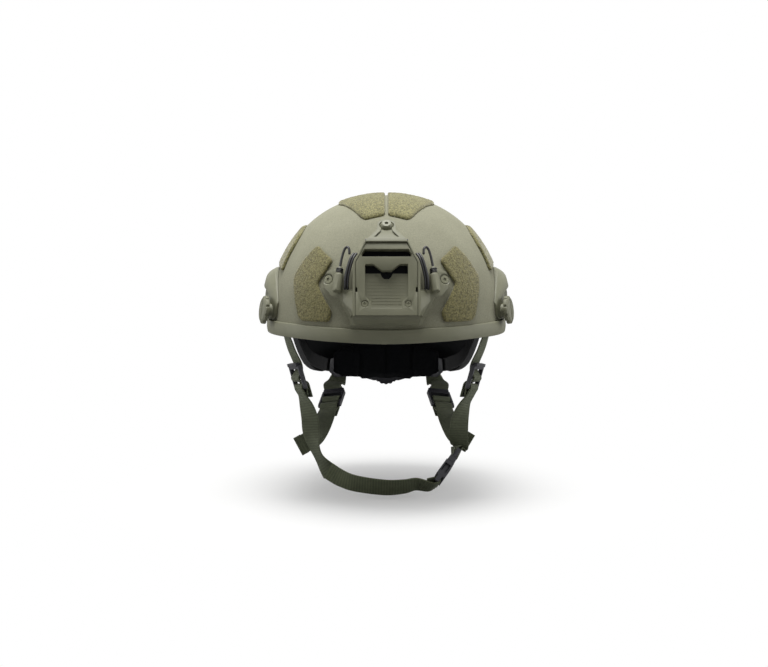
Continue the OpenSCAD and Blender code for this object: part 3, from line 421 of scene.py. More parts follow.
@dataclass(frozen=True)
class PaperFloor(Finish):
    """A sweep of white paper, which runs out into the white backdrop a little way off the product."""

    near: float = 0.02
    far: float = 0.3
    wash: float = 0.3
    bounce: str = "#A2A2A2"

    def material(self) -> bpy.types.Material:
        """Fade the paper, where it is seen, into plain white with distance.

        Returns:
            The material.
        """
        made = super().material()
        tree = made.node_tree
        out = next(n for n in tree.nodes if n.type == "OUTPUT_MATERIAL")
        paper = out.inputs["Surface"].links[0].from_socket
        where = add_node(tree, "ShaderNodeTexCoord")
        reach = add_node(tree, "ShaderNodeVectorMath", {0: where.outputs["Object"]}, operation="LENGTH")
        fade = add_node(
            tree,
            "ShaderNodeMapRange",
            {"Value": reach.outputs["Value"], "From Min": self.near, "From Max": self.far, "To Min": self.wash},
            interpolation_type="SMOOTHSTEP",
        )
        seen = add_node(tree, "ShaderNodeLightPath")
        white = add_node(tree, "ShaderNodeEmission", {"Color": (1, 1, 1, 1), "Strength": 1.0})
        faded = add_node(tree, "ShaderNodeMixShader", {0: fade.outputs["Result"], 1: paper, 2: white.outputs[0]})
        # The paper throws back less light than it seems to, so that the product's underside stays dark.
        dull = add_node(tree, "ShaderNodeBsdfDiffuse", {"Color": linear(self.bounce)})
        mixed = add_node(
            tree, "ShaderNodeMixShader", {0: seen.outputs["Is Camera Ray"], 1: dull.outputs[0], 2: faded.outputs[0]}
        )
        tree.links.new(mixed.outputs[0], out.inputs["Surface"])
        return made


SHELL_COAT = GritCoat("grit_coat_on_laminate", "#93927D", "#85846F", 45, 0.82, grain_mm=0.9, relief_mm=0.16)
# Spray leaves the inside nearly black.
SHELL_LINING = Finish("black_inner_coat", "#121317", "#0B0C0F", 30, 0.8, grain_mm=1.2, relief_mm=0.1)
# The trim's inner leg and underside are coloured black.
TRIM_INNER_BLACK = Finish("black_rubber", "#17181A", "#101113", 20, 0.7, 1.52, 0.8, 0.03)
# Glass-filled nylon, moulded in a spark-finished tool: fine even texture with a slight sheen on edges.
MOULDED = Finish("moulded_olive_nylon", "#787862", "#6C6C57", 25, 0.58, 1.53, 0.6, 0.05)
TRIM = Finish("olive_rubber_trim", "#84846E", "#787862", 30, 0.6, 1.52, 0.8, 0.04)
PILE = LoopPile("olive_loop_pile", "#A5A06F", "#726E45", 1.7, 0.95, 1.5, 0.6, 0.35, sheen=0.35, contrast=0.4)
# The front patches' pile is painted darker: painted shade, as they face forward under light that falls from above.
SHADED_FRONT_PILE = LoopPile("handled_loop_pile", "#989160", "#605C37", 1.7, 0.95, 1.5, 0.6, 0.35, sheen=0.3, contrast=0.5)
WEBBING = Webbing("olive_nylon_webbing", "#62684F", "#525840", 9, 0.75, 1.53, relief_mm=0.1, sheen=0.1)
# The chin band's webbing is painted lighter than the other straps: painted light, where little lamp light reaches it
# low under the helmet.
LIT_CHIN_WEBBING = Webbing("washed_olive_webbing", "#7C8365", "#6B7255", 9, 0.75, 1.53, relief_mm=0.1, sheen=0.1)
# Acetal, moulded and slightly polished by handling.
HARDWARE = Finish("dark_acetal_hardware", "#3D3D42", "#323237", 15, 0.42, 1.48, 0.8, 0.02)
# Brushed nylon knit over foam, which swallows light.
PAD_CLOTH = Finish("black_brushed_knit", "#0A0B0F", "#060709", 5, 0.95, 1.3, 0.8, 0.12, sheen=0.02)
PAINTED_STEEL = Finish("olive_painted_steel", "#86866F", "#77775F", 10, 0.5, 1.5, 0.9, 0.02)
BLACK_STEEL = Finish("black_oxide_steel", "#2B2B2A", "#201F1F", 6, 0.45, 2.4, 0.7, 0.02, metallic=0.6)
WIRE = Finish("black_lacquered_spring_wire", "#1D1D1D", "#161616", 6, 0.35, 1.5, 0.6, 0.01)
CORD = Finish("black_braided_elastic", "#1D1D1F", "#121213", 1.6, 0.42, 1.5, 1.0, 0.08, contrast=0.3)
STRIP = Finish("black_soft_plastic_strip", "#1B1B1D", "#151517", 12, 0.55, 1.5, 0.8, 0.02)
# Matt black sheets laid in the mount's slot and under its socket's head: painted shade, where these recesses fall
# dark.
SHADE_BLACK_SHEET = Finish("matt_black_rubber_lining", "#0A0B0D", "#060708", 12, 0.95, 1.3, 0.8, 0.02)
THREAD = Finish("olive_sewing_thread", "#6A6F58", "#555A45", 3, 0.7, 1.53, 0.4, 0.03, sheen=0.2)
# A sweep of matt paper under the product.
PAPER = PaperFloor("pale_paper_floor", "#F4F4F2", "#F0F0EE", 400, 0.9, 1.4, 3, 0.01)


def between(p0: Any, p1: Any, p2: Any, p3: Any, t: float) -> Any:
    """Value t of the way from p1 to p2, on a Catmull-Rom curve through four values.

    Args:
        p0: Value before the span.
        p1: Value at its start.
        p2: Value at its end.
        p3: Value after it.
        t: Share of the span.

    Returns:
        The value there.
    """
    return 0.5 * (
        2 * p1 + (p2 - p0) * t + (2 * p0 - 5 * p1 + 4 * p2 - p3) * t**2 + (3 * p1 - p0 - 3 * p2 + p3) * t**3
    )


def eased(keys: Keys, x: float) -> float:
    """Value at x in a table of pairs, on a Catmull-Rom curve through them.

    Args:
        keys: Pairs of place and value, in rising order of place.
        x: Place.

    Returns:
        The value there.
    """
    last = len(keys) - 2
    i = next((k for k in range(last + 1) if x <= keys[k + 1][0]), last)
    t = min(1.0, max(0.0, (x - keys[i][0]) / (keys[i + 1][0] - keys[i][0])))
    return between(*(keys[min(max(k, 0), last + 1)][1] for k in (i - 1, i, i + 1, i + 2)), t)


def curve_through(points: Sequence[Sequence[float]], steps: int) -> np.ndarray:
    """Points on a Catmull-Rom curve through the given ones.

    Args:
        points: Places or directions.
        steps: New points for each span.

    Returns:
        One row for each point of the curve.
    """
    p = np.array(points, float)
    ends = np.vstack([p[:1], p, p[-1:]])
    rows = []
    for i in range(len(p) - 1):
        rows += [between(*ends[i : i + 4], t) for t in np.arange(steps) / steps]
    return np.array([*rows, p[-1]])


def unit(v: Sequence[float]) -> np.ndarray:
    """The direction of v."""
    a = np.array(v, float)
    return a / np.linalg.norm(a)


def grid_faces(rows: int, columns: int, wrap: bool = False, start: int = 0) -> Faces:
    """Quads of a grid of points laid out row by row.

    Args:
        rows: Number of rows of points.
        columns: Number of points in a row.
        wrap: Whether each row's last point joins its first.
        start: Index of the grid's first point.

    Returns:
        Index tuples for the faces.
    """
    reach = columns if wrap else columns - 1
    return [
        (
            start + i * columns + j,
            start + i * columns + (j + 1) % columns,
            start + (i + 1) * columns + (j + 1) % columns,
            start + (i + 1) * columns + j,
        )
        for i in range(rows - 1)
        for j in range(reach)
    ]


def tube_faces(rings: int, sides: int, start: int = 0) -> Faces:
    """Faces of a closed tube of rings of points, with a cap at each end.

    Args:
        rings: Number of rings.
        sides: Number of points in a ring.
        start: Index of the first ring's first point.

    Returns:
        Index tuples for the faces.
    """
    end = start + rings * sides - 1
    caps = [tuple(range(start, start + sides)), tuple(range(end, end - sides, -1))]
    return grid_faces(rings, sides, wrap=True, start=start) + caps


def piece(name: str, points: Sequence[Sequence[float]], faces: Faces, finish: Finish) -> bpy.types.Object:
    """Make a smooth mesh piece with its faces turned outward.

    Args:
        name: Name of the object.
        points: Places in metres.
        faces: Index tuples.
        finish: Its surface.

    Returns:
        The new object, in the scene.
    """
    mesh = bpy.data.meshes.new(name)
    mesh.from_pydata([tuple(map(float, p)) for p in points], [], list(faces))
    form = bmesh.new()
    form.from_mesh(mesh)
    bmesh.ops.recalc_face_normals(form, faces=form.faces)
    form.to_mesh(mesh)
    form.free()
    mesh.shade_smooth()
    mesh.materials.append(finish.material())
    made = bpy.data.objects.new(name, mesh)
    bpy.context.scene.collection.objects.link(made)
    return made


def soften(target: bpy.types.Object, width_mm: float, segments: int = 2, angle: float = 32) -> None:
    """Round a piece's edges a little, so that they catch the light.

    Args:
        target: Piece or CAD node.
        width_mm: Width of the rounding.
        segments: Faces across it.
        angle: Sharper edges than this, in degrees, are rounded.
    """
    target.modifiers.new("weld", "WELD").merge_threshold = 1e-6
    bevel = target.modifiers.new("edges", "BEVEL")
    bevel.width = width_mm * MM
    bevel.segments = segments
    bevel.limit_method = "ANGLE"
    bevel.angle_limit = math.radians(angle)
    bevel.use_clamp_overlap = True
    shade = target.modifiers.new("shade", "NODES")
    shade.node_group = smooth_by_angle()


def smooth_by_angle() -> Tree:
    """Node group that shades faces smooth, apart from edges sharper than 30 degrees.

    Returns:
        The node group.
    """
    found = bpy.data.node_groups.get("smooth_by_angle")
    if found is not None:
        return found
    tree = bpy.data.node_groups.new("smooth_by_angle", "GeometryNodeTree")
    tree.interface.new_socket("Geometry", in_out="INPUT", socket_type="NodeSocketGeometry")
    tree.interface.new_socket("Geometry", in_out="OUTPUT", socket_type="NodeSocketGeometry")
    start = add_node(tree, "NodeGroupInput")
    angle = add_node(tree, "GeometryNodeInputMeshEdgeAngle")
    gentle = add_node(
        tree,
        "FunctionNodeCompare",
        {0: angle.outputs[0], 1: math.radians(30)},
        data_type="FLOAT",
        operation="LESS_THAN",
    )
    faces = add_node(
        tree, "GeometryNodeSetShadeSmooth", {"Geometry": start.outputs[0], "Shade Smooth": True}, domain="FACE"
    )
    edges = add_node(
        tree,
        "GeometryNodeSetShadeSmooth",
        {"Geometry": faces.outputs[0], "Shade Smooth": gentle.outputs[0]},
        domain="EDGE",
    )
    add_node(tree, "NodeGroupOutput", {0: edges.outputs[0]})
    return tree


@dataclass
class Kept:
    """A CAD node whose shape is right, with a better surface and rounded edges."""

    node: str
    finish: Finish
    edge_mm: float = 0.3

    def dress(self, frame: dict) -> None:
        """Give the node its finish.

        Args:
            frame: The loaded CAD frame.
        """
        target = frame["nodes"][self.node]
        for slot in target.material_slots:
            slot.link = "OBJECT"
            slot.material = self.finish.material()
        soften(target, self.edge_mm)
        LOG.info("dressed %s", self.node)


@dataclass
class ShellForm:
    """The shell's surface, by the same formula as the CAD model, with angles in degrees from the face."""

    half_width: float = 118 * MM
    front: float = 136 * MM
    rear: float = 142 * MM
    height: float = 139 * MM
    low_reach: float = 230 * MM
    wall: float = 8 * MM
    plan_power: float = 2.35
    rise_power: float = 2.2
    rear_drop: float = 51
    ear_rise: float = 34
    trim: float = 2 * MM
    gap: float = 0.35 * MM

    def edge_keys(self) -> Keys:
        """Angle, and height in millimetres, of the trim's lower edge."""
        drop, ear = self.rear_drop, self.ear_rise
        return [
            (-20, 1.4), (0, 0), (20, 1.4), (40, 3.2), (64, 3.8), (76, 5.5), (86, ear * 0.5), (96, ear * 0.88),
            (107, ear), (118, ear * 0.85), (126, ear * 0.3), (132, -drop * 0.38), (138, -drop * 0.82), (145, -drop),
            (154, -drop * 0.93), (166, -drop * 0.8), (180, -drop * 0.75), (200, -drop * 0.78),
        ]  # fmt: skip

    def edge(self, angle: float) -> float:
        """Height of the trim's lower edge at an angle."""
        a = angle % 360
        return eased(self.edge_keys(), 360 - a if a > 180 else a) * MM

    def stretch(self, angle: float) -> float:
        """How much longer the edge runs than its plan, where it climbs."""
        run = self.plan(angle, 0) * math.radians(2)
        return math.hypot(run, self.edge(angle + 1) - self.edge(angle - 1)) / run

    def plan(self, angle: float, off: float) -> float:
        """Plan radius at an angle.

        Args:
            angle: Angle from the face.
            off: Distance outside the shell, in metres.

        Returns:
            The radius in metres.
        """
        s, c = math.sin(math.radians(angle)), math.cos(math.radians(angle))
        reach = (self.front if c > 0 else self.rear) + off
        power = self.plan_power
        return (abs(s / (self.half_width + off)) ** power + abs(c / reach) ** power) ** (-1 / power)

    def skin(self, angle: float, z: float, off: float = 0.0) -> np.ndarray:
        """Point at an angle and a height, off outside the shell.

        Args:
            angle: Angle from the face.
            z: Height in metres.
            off: Distance outside the shell, in metres.

        Returns:
            The point in metres.
        """
        top = self.height + off if z >= 0 else self.low_reach
        rise = max(0.0, 1 - abs(z / top) ** self.rise_power) ** (1 / self.rise_power)
        r = self.plan(angle, off) * rise
        return np.array([r * math.sin(math.radians(angle)), -r * math.cos(math.radians(angle)), z])

    def dome(self, x: float, y: float, off: float = 0.0) -> np.ndarray:
        """Point above a place in plan.

        Args:
            x: Place to the wearer's left, in metres.
            y: Place towards the back, in metres.
            off: Distance outside the shell, in metres.

        Returns:
            The point in metres.
        """
        reach = (self.front if y < 0 else self.rear) + off
        s = abs(x / (self.half_width + off)) ** self.plan_power + abs(y / reach) ** self.plan_power
        lift = max(0.0, 1 - s ** (self.rise_power / self.plan_power)) ** (1 / self.rise_power)
        return np.array([x, y, (self.height + off) * lift])

    def depth(self, points: np.ndarray) -> np.ndarray:
        """How far outside the shell each point is, found by halving.

        Args:
            points: Rows of places in metres.

        Returns:
            One distance in metres for each point, less than nought inside.
        """
        low, high = np.full(len(points), -70 * MM), np.full(len(points), 20 * MM)
        x, y, z = np.abs(points).T
        front = points[:, 1] < 0
        for _ in range(24):
            off = (low + high) / 2
            reach = np.where(front, self.front, self.rear) + off
            plan = (x / (self.half_width + off)) ** self.plan_power + (y / reach) ** self.plan_power
            top = np.where(points[:, 2] >= 0, self.height + off, self.low_reach)
            inside = plan ** (self.rise_power / self.plan_power) + (z / top) ** self.rise_power < 1
            high, low = np.where(inside, off, high), np.where(inside, low, off)
        return (low + high) / 2

    def wall_point(self, angle: float, t: float, off: float) -> np.ndarray:
        """Point of the wall, t from nought at the crown to one at the edge.

        Args:
            angle: Angle from the face.
            t: Share of the way from the crown to the edge.
            off: Distance outside the shell, in metres.

        Returns:
            The point in metres.
        """
        end = self.edge(angle) + (self.trim + self.gap) * self.stretch(angle)
        top = self.height + off
        reach = top if end >= 0 else self.low_reach
        last = math.copysign(math.asin(abs(end / reach) ** (self.rise_power / 2)), end)
        lat = math.pi / 2 + (last - math.pi / 2) * t
        tall = top if lat >= 0 else self.low_reach
        z = math.copysign(tall * abs(math.sin(lat)) ** (2 / self.rise_power), lat)
        r = self.plan(angle, off) * max(0.0, math.cos(lat)) ** (2 / self.rise_power)
        return np.array([r * math.sin(math.radians(angle)), -r * math.cos(math.radians(angle)), z])


FORM = ShellForm()


@dataclass(frozen=True)
class CradleForm:
    """The nape cradle's round plan, as in the CAD model, in millimetres."""

    radius: float = 82
    centre_y: float = 22
    pad: float = 9
    carrier: float = 2.6
    outer: float = radius + pad + SEAT_GAP + carrier

    def place(self, angle: float, radius: float, z: float) -> Point:
        """Place at an angle from straight back, in degrees."""
        turn = math.radians(angle)
        return (radius * math.sin(turn), self.centre_y + radius * math.cos(turn), z)


CRADLE = CradleForm()


@dataclass
class Shell:
    """The laminated shell and the rubber trim round its edge."""

    columns: int = 180
    rows: int = 44
    trim_height: float = 13
    trim_leg: float = 7.8
    trim_wall: float = 2
    trim_gap: float = 0.5

    def build_shell(self) -> None:
        """Make the shell, coated outside and black inside."""
        step = 360 / self.columns
        walls = [
            FORM.wall_point(i * step, j / self.rows, off)
            for off in (0, -FORM.wall)
            for j in range(1, self.rows + 1)
            for i in range(self.columns)
        ]
        count = self.rows * self.columns
        points = [*walls, (0, 0, FORM.height), (0, 0, FORM.height - FORM.wall)]
        outer = grid_faces(self.rows, self.columns, wrap=True)
        outer += [(2 * count, i, (i + 1) % self.columns) for i in range(self.columns)]
        inner = grid_faces(self.rows, self.columns, wrap=True, start=count)
        inner += [(2 * count + 1, count + i, count + (i + 1) % self.columns) for i in range(self.columns)]
        edge = count - self.columns
        lip = [
            (edge + i, edge + (i + 1) % self.columns, edge + count + (i + 1) % self.columns, edge + count + i)
            for i in range(self.columns)
        ]
        made = piece("shell_coated", points, outer + inner + lip, SHELL_COAT)
        self.paint_inside(made, SHELL_LINING, -4)
        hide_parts("shell")
        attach(made, "helmet")

    def paint_inside(self, made: bpy.types.Object, finish: Finish, off_mm: float) -> None:
        """Give the faces that lie deeper than off_mm a second finish.

        Args:
            made: Piece with one finish so far.
            finish: The second finish.
            off_mm: Distance outside the shell, less than nought inside, under which a face gets it.
        """
        made.data.materials.append(finish.material())
        centres = np.array([face.center for face in made.data.polygons])
        for face, deep in zip(made.data.polygons, FORM.depth(centres) < off_mm * MM):
            face.material_index = int(deep)

    def build_trim(self) -> None:
        """Make the channel-shaped trim that closes the shell's edge."""
        t, h, gap = self.trim_wall, self.trim_height, self.trim_gap
        back = -FORM.wall / MM - 2 * gap
        section = [
            (0, t * 0.7), (h * 0.3, t + 0.15), (h * 0.6, t + 0.15), (h, t), (h + 0.6, gap), (t, gap), (t, back),
            (self.trim_leg, back), (self.trim_leg, back - t), (0, back - t + 0.6),
        ]  # fmt: skip
        step = 360 / self.columns
        points = []
        for i in range(self.columns):
            a = i * step
            base, stretch = FORM.edge(a), FORM.stretch(a)
            points += [FORM.skin(a, base + up * MM * stretch, out * MM) for up, out in section]
        count = len(section)
        faces = grid_faces(self.columns, count, wrap=True)
        last = (self.columns - 1) * count
        faces += [(last + j, last + (j + 1) % count, (j + 1) % count, j) for j in range(count)]
        made = piece("edge_trim_rubber", points, faces, TRIM)
        self.paint_inside(made, TRIM_INNER_BLACK, -1.5)
        soften(made, 0.6, 3, 25)
        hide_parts("edge_trim")
        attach(made, "helmet")

    def build(self) -> None:
        """Make both pieces."""
        self.build_shell()
        self.build_trim()
        LOG.info("made the shell and its trim")


@dataclass
class PilePatch:
    """A die-cut patch of loop pile, rolled down at its rim."""

    name: str
    outline: list[tuple[float, float]]
    place: Callable[[float, float, float], np.ndarray]
    corner: float = 3.5
    grid: float = 1.25
    thick: float = 2.75
    rim: float = 1.9
    rim_share: float = 0.45
    tuft: float = 0.5
    tuft_size: float = 1.7
    tuft_most: float = 0.25
    lift: float = 0.2
    finish: LoopPile = PILE

    def rounded(self) -> np.ndarray:
        """The outline with its corners cut on a curve.

        Returns:
            Rows of places in millimetres.
        """
        p = np.array(self.outline, float)
        rows = []
        for i, here in enumerate(p):
            before, after = p[i - 1], p[(i + 1) % len(p)]
            cut = [min(self.corner, np.linalg.norm(q - here) * 0.45) for q in (before, after)]
            a, b = here + unit(before - here) * cut[0], here + unit(after - here) * cut[1]
            rows += [(1 - t) ** 2 * a + 2 * t * (1 - t) * here + t**2 * b for t in (0, 0.25, 0.5, 0.75, 1)]
        return np.array(rows)

    def to_edge(self, points: np.ndarray, edge: np.ndarray) -> np.ndarray:
        """Distance in millimetres from each point to the outline.

        Args:
            points: Rows of places.
            edge: The outline's corners.

        Returns:
            One distance for each point.
        """
        a, b = edge, np.roll(edge, -1, axis=0)
        run = b - a
        t = np.einsum("pei,ei->pe", points[:, None] - a, run) / np.maximum(1e-9, (run**2).sum(1))
        near = a + np.clip(t, 0, 1)[..., None] * run
        return np.linalg.norm(points[:, None] - near, axis=2).min(axis=1)

    def build(self) -> None:
        """Cut the outline into a fine grid, lay it on the shell and roll its rim."""
        edge = self.rounded()
        form = bmesh.new()
        form.faces.new([form.verts.new((x, y, 0)) for x, y in edge])
        for axis in (0, 1):
            for cut in np.arange(edge[:, axis].min() + self.grid / 2, edge[:, axis].max(), self.grid):
                place, normal = [0.0, 0.0, 0.0], [0.0, 0.0, 0.0]
                place[axis], normal[axis] = float(cut), 1.0
                geometry = [*form.verts, *form.edges, *form.faces]
                bmesh.ops.bisect_plane(form, geom=geometry, plane_co=place, plane_no=normal, dist=1e-4)
        bmesh.ops.remove_doubles(form, verts=form.verts, dist=0.05)
        form.verts.index_update()
        flat = np.array([v.co[:2] for v in form.verts])
        faces = [tuple(v.index for v in f.verts) for f in form.faces]
        border = [tuple(v.index for v in e.verts) for e in form.edges if e.is_boundary]
        form.free()
        near = np.clip(self.to_edge(flat, edge) / self.rim, 0, 1)
        top = self.thick * (self.rim_share + (1 - self.rim_share) * np.sqrt(1 - (1 - near) ** 2))
        points = []
        for (x, y), high in zip(flat, top):
            tuft = noise.noise(Vector((x / self.tuft_size, y / self.tuft_size, len(self.name)))) * self.tuft
            points.append(self.place(x, y, (high + min(tuft, self.tuft_most)) * MM))
        points += [self.place(x, y, self.lift * MM) for x, y in flat]
        count = len(flat)
        faces += [tuple(i + count for i in reversed(f)) for f in faces]
        faces += [(a, b, b + count, a + count) for a, b in border]
        made = piece(self.name + "_pile", points, faces, self.finish)
        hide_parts(self.name)
        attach(made, "helmet")
        LOG.info("made %s with %d points", made.name, len(points))


@dataclass
class Patches:
    """The eleven loop patches. Outlines repeat the CAD model's, as millimetres on the shell's surface."""

    crown_gap: float = 1.4
    rail_top: float = 67
    girth: float = 122
    front_edges: Edges = (
        (19.5, 22.8, 35), (22.5, 22, 37.3), (29.6, 21.4, 38.6), (54, 29.2, 43.4), (61, 27.5, 44.5), (76, 24, 41),
        (82, 29, 39), (88.5, 34.5, 36.5),
    )  # fmt: skip
    rear_edges: Edges = ((12, 160, 200), (18, 157, 203), (62, 157, 203), (68, 161, 199))
    rear_side_edges: Edges = ((-27, 146, 152), (-20, 144, 154), (2, 138, 153), (26, 135, 150), (32, 138, 146))

    def side_edges(self) -> Edges:
        """Angle and two heights of the side patch, which keeps clear of the rail."""
        top = self.rail_top
        return [
            (59, top - 2.5, 91), (61.5, top - 1.5, 100), (66, top, 104.5), (74, top + 3.6, 108.5),
            (80, top + 4, 109), (112, top + 4, 107), (122, top + 8, 98),
        ]  # fmt: skip

    def crown_edges(self, front: bool) -> Edges:
        """Places from front to back, and two distances from the middle, of a crown patch.

        Args:
            front: Whether it is the front one of the two.

        Returns:
            A row for each place.
        """
        g = self.crown_gap
        if front:
            return [(-84.6, 17, 20.5), (-80.8, g, 24.5), (-58, g, 36), (-34, g, 46), (-24, g, 47.5), (-20, g, 46.5)]
        return [(-15, g, 13), (-9, g, 15), (12, g, 40), (28, g, 49), (62, g, 30), (66, g, 26)]

    def on_wall(
        self, name: str, edges: Edges, side: Side, long: bool = False, finish: LoopPile = PILE
    ) -> PilePatch:
        """A patch laid out by angle and height. A long one has its edges along the wall.

        Args:
            name: Name of the patch's node.
            edges: Rows of a place and the patch's two ends there.
            side: Side of the helmet.
            long: Whether the rows follow the wall instead of climbing it.
            finish: Its pile.

        Returns:
            The patch.
        """
        per_degree = math.radians(self.girth)
        if long:
            loop = [(a * per_degree, z) for a, z, _ in edges] + [(a * per_degree, z) for a, _, z in reversed(edges)]
        else:
            loop = [(a * per_degree, z) for z, a, _ in edges] + [(b * per_degree, z) for z, _, b in reversed(edges)]

        def place(x: float, z: float, off: float) -> np.ndarray:
            """Point of the wall over a place in the outline."""
            return FORM.skin(side.value * x / per_degree, z * MM, off)

        return PilePatch(name, loop, place, finish=finish)

    def on_crown(self, name: str, edges: Edges, side: Side) -> PilePatch:
        """A patch laid out in plan.

        Args:
            name: Name of the patch's node.
            edges: Rows of a place and the patch's two ends there.
            side: Side of the helmet.

        Returns:
            The patch.
        """
        loop = [(a, y) for y, a, _ in edges] + [(b, y) for y, _, b in reversed(edges)]

        def place(x: float, y: float, off: float) -> np.ndarray:
            """Point of the crown over a place in the outline."""
            return FORM.dome(side.value * x * MM, y * MM, off)

        return PilePatch(name, loop, place)

    def build(self) -> None:
        """Make every patch."""
        made = [self.on_wall("rear_patch", self.rear_edges, Side.LEFT)]
        for side in Side:
            made += [
                # The front patches take the darker pile of painted shade.
                self.on_wall(f"front_patch_{side.word}", self.front_edges, side, finish=SHADED_FRONT_PILE),
                self.on_wall(f"side_patch_{side.word}", self.side_edges(), side, long=True),
                self.on_wall(f"rear_side_patch_{side.word}", self.rear_side_edges, side),
                self.on_crown(f"top_patch_front_{side.word}", self.crown_edges(True), side),
                self.on_crown(f"top_patch_rear_{side.word}", self.crown_edges(False), side),
            ]
        for patch in made:
            patch.build()


@dataclass
class Strap:
    """Flat webbing along keys of a place and the direction of its width, in millimetres."""

    name: str
    keys: StrapKeys
    width: float = 19
    thick: float = WEB_THICK
    ribs: float = 0.14
    rib_pitch: float = 2.7
    finish: Finish = WEBBING
    slot: str = "webbing"
    share: tuple[float, float] = (0, 1)
    key_steps: int = 12
    rib_samples: int = 4

    def path(self) -> tuple[np.ndarray, np.ndarray, np.ndarray]:
        """Centres, width directions and lengths along the strap, evenly spaced.

        Returns:
            Places, directions and lengths, one for each ring of the strap.
        """
        centres = curve_through([k[0] for k in self.keys], self.key_steps)
        widths = curve_through([k[1] for k in self.keys], self.key_steps)
        steps = np.linalg.norm(np.diff(centres, axis=0), axis=1)
        along = np.concatenate([[0], np.cumsum(steps)])
        even = np.linspace(0, along[-1], max(8, int(along[-1] / (self.rib_pitch / self.rib_samples))))
        sample = [np.interp(even, along, column) for column in [*centres.T, *widths.T]]
        return np.array(sample[:3]).T, np.array(sample[3:]).T, even

    def build(self) -> bpy.types.Object:
        """Sweep a section with rounded edges, with ribs across both faces.

        Returns:
            The piece.
        """
        centres, widths, along = self.path()
        half, up = self.width / 2, self.thick / 2
        across = [-1, -0.985, -0.9, -0.5, 0, 0.5, 0.9, 0.985, 1]
        section = [(u, 0.62 if abs(u) == 1 else 1) for u in across]
        section += [(-u, -v) for u, v in section]
        points = []
        last = len(centres) - 1
        rings = range(round(self.share[0] * last), round(self.share[1] * last) + 1)
        for i in rings:
            centre = centres[i]
            run = unit(centres[min(i + 1, last)] - centres[max(i - 1, 0)])
            normal = unit(np.cross(run, widths[i]))
            side = np.cross(normal, run)
            rib = self.ribs * math.cos(2 * math.pi * along[i] / self.rib_pitch)
            for u, v in section:
                high = (up - self.ribs + (rib if abs(u) < 0.95 else 0)) * v
                points.append((centre + u * half * side + high * normal) * MM)
        count = len(section)
        made = piece(self.name, points, tube_faces(len(rings), count), self.finish)
        self.map_strap(made, along[rings.start :], [u for u, _ in section], half)
        return made

    def share_near(self, place: Point) -> float:
        """Share of the strap's length at which it comes nearest to a place."""
        centres = self.path()[0]
        return float(np.argmin(np.linalg.norm(centres - np.array(place), axis=1))) / (len(centres) - 1)

    def row(self, at: float, inset: float = 2.4) -> tuple[np.ndarray, np.ndarray]:
        """Ends of a line across the strap's outer face, at a length along it. Millimetres.

        Args:
            at: Length along the strap.
            inset: How far the line's ends stay inside the strap's edges.

        Returns:
            The two ends.
        """
        centres, widths, along = self.path()
        i = int(np.clip(np.searchsorted(along, at), 1, len(along) - 2))
        run = unit(centres[i + 1] - centres[i - 1])
        normal = unit(np.cross(run, widths[i]))
        side = np.cross(normal, run)
        face = centres[i] + normal * (self.thick / 2 + 0.1)
        reach = side * (self.width / 2 - inset)
        return face - reach, face + reach

    def map_strap(self, made: bpy.types.Object, along: np.ndarray, across: list[float], half: float) -> None:
        """Write the strap's own metres, across and along, into a map.

        Args:
            made: The strap's piece.
            along: Length along the strap for each ring.
            across: Place across the strap for each point of a ring, as a share of half its width.
            half: Half of its width.
        """
        layer = made.data.uv_layers.new(name="strap")
        count = len(across)
        for loop in made.data.loops:
            ring, j = divmod(loop.vertex_index, count)
            layer.data[loop.index].uv = (across[j] * half * MM, float(along[ring]) * MM)


@dataclass(frozen=True)
class Adjuster:
    """A three-bar adjuster's place in millimetres: its pivot bar, the direction up its strap and its width."""

    pivot: Point
    up: Point
    width: Point
    length: float = 22
    middle: float = 9.5
    loop: float = PIVOT_RADIUS + SEAT_GAP + WEB_THICK / 2

    def point(self, up: float, out: float) -> Point:
        """Place beside the adjuster: up its strap, out of its face.

        Args:
            up: Distance up the strap from the pivot bar.
            out: Distance out of the adjuster's face.

        Returns:
            The place.
        """
        run = unit(self.up)
        side = self.across()
        return tuple(np.array(self.pivot) + up * run + out * np.cross(side, run))

    def across(self) -> Point:
        """Direction of its width, square to its run.

        Returns:
            The unit direction.
        """
        run = unit(self.up)
        side = np.array(self.width, float)
        return tuple(unit(side - side.dot(run) * run))

    def threaded(self) -> StrapKeys:
        """Keys of webbing threaded over the middle bar, from its tail up.

        Returns:
            The keys.
        """
        w, m = self.across(), self.middle
        route = [
            (-12, -5.2), (-4, -5.2), (2, -5), (5, -2.6), (6.2, 0.8), (m - 1.3, 3), (m + 1.3, 3), (13, 0.4),
            (15.6, -2.3), (self.length - 3, -3.5), (self.length + 3, -3.5),
        ]  # fmt: skip
        return [(self.point(*r), w) for r in route]

    def looped(self) -> StrapKeys:
        """Keys of a strap end folded round the pivot bar.

        Returns:
            The keys.
        """
        w, r = self.across(), self.loop
        route = [
            (-9, -1), (-5, -1.6), (-1.2, -r), (r * 0.72, -r * 0.72), (r, 0), (r * 0.72, r * 0.72), (-1.2, r),
            (-5, 1.8), (-9, 0.9),
        ]  # fmt: skip
        return [(self.point(*q), w) for q in route]


def flipped(keys: StrapKeys, side: Side) -> StrapKeys:
    """Keys on the wearer's left, or their mirror image."""
    s = side.value
    return [((s * p[0], p[1], p[2]), (s * w[0], w[1], w[2])) for p, w in keys]


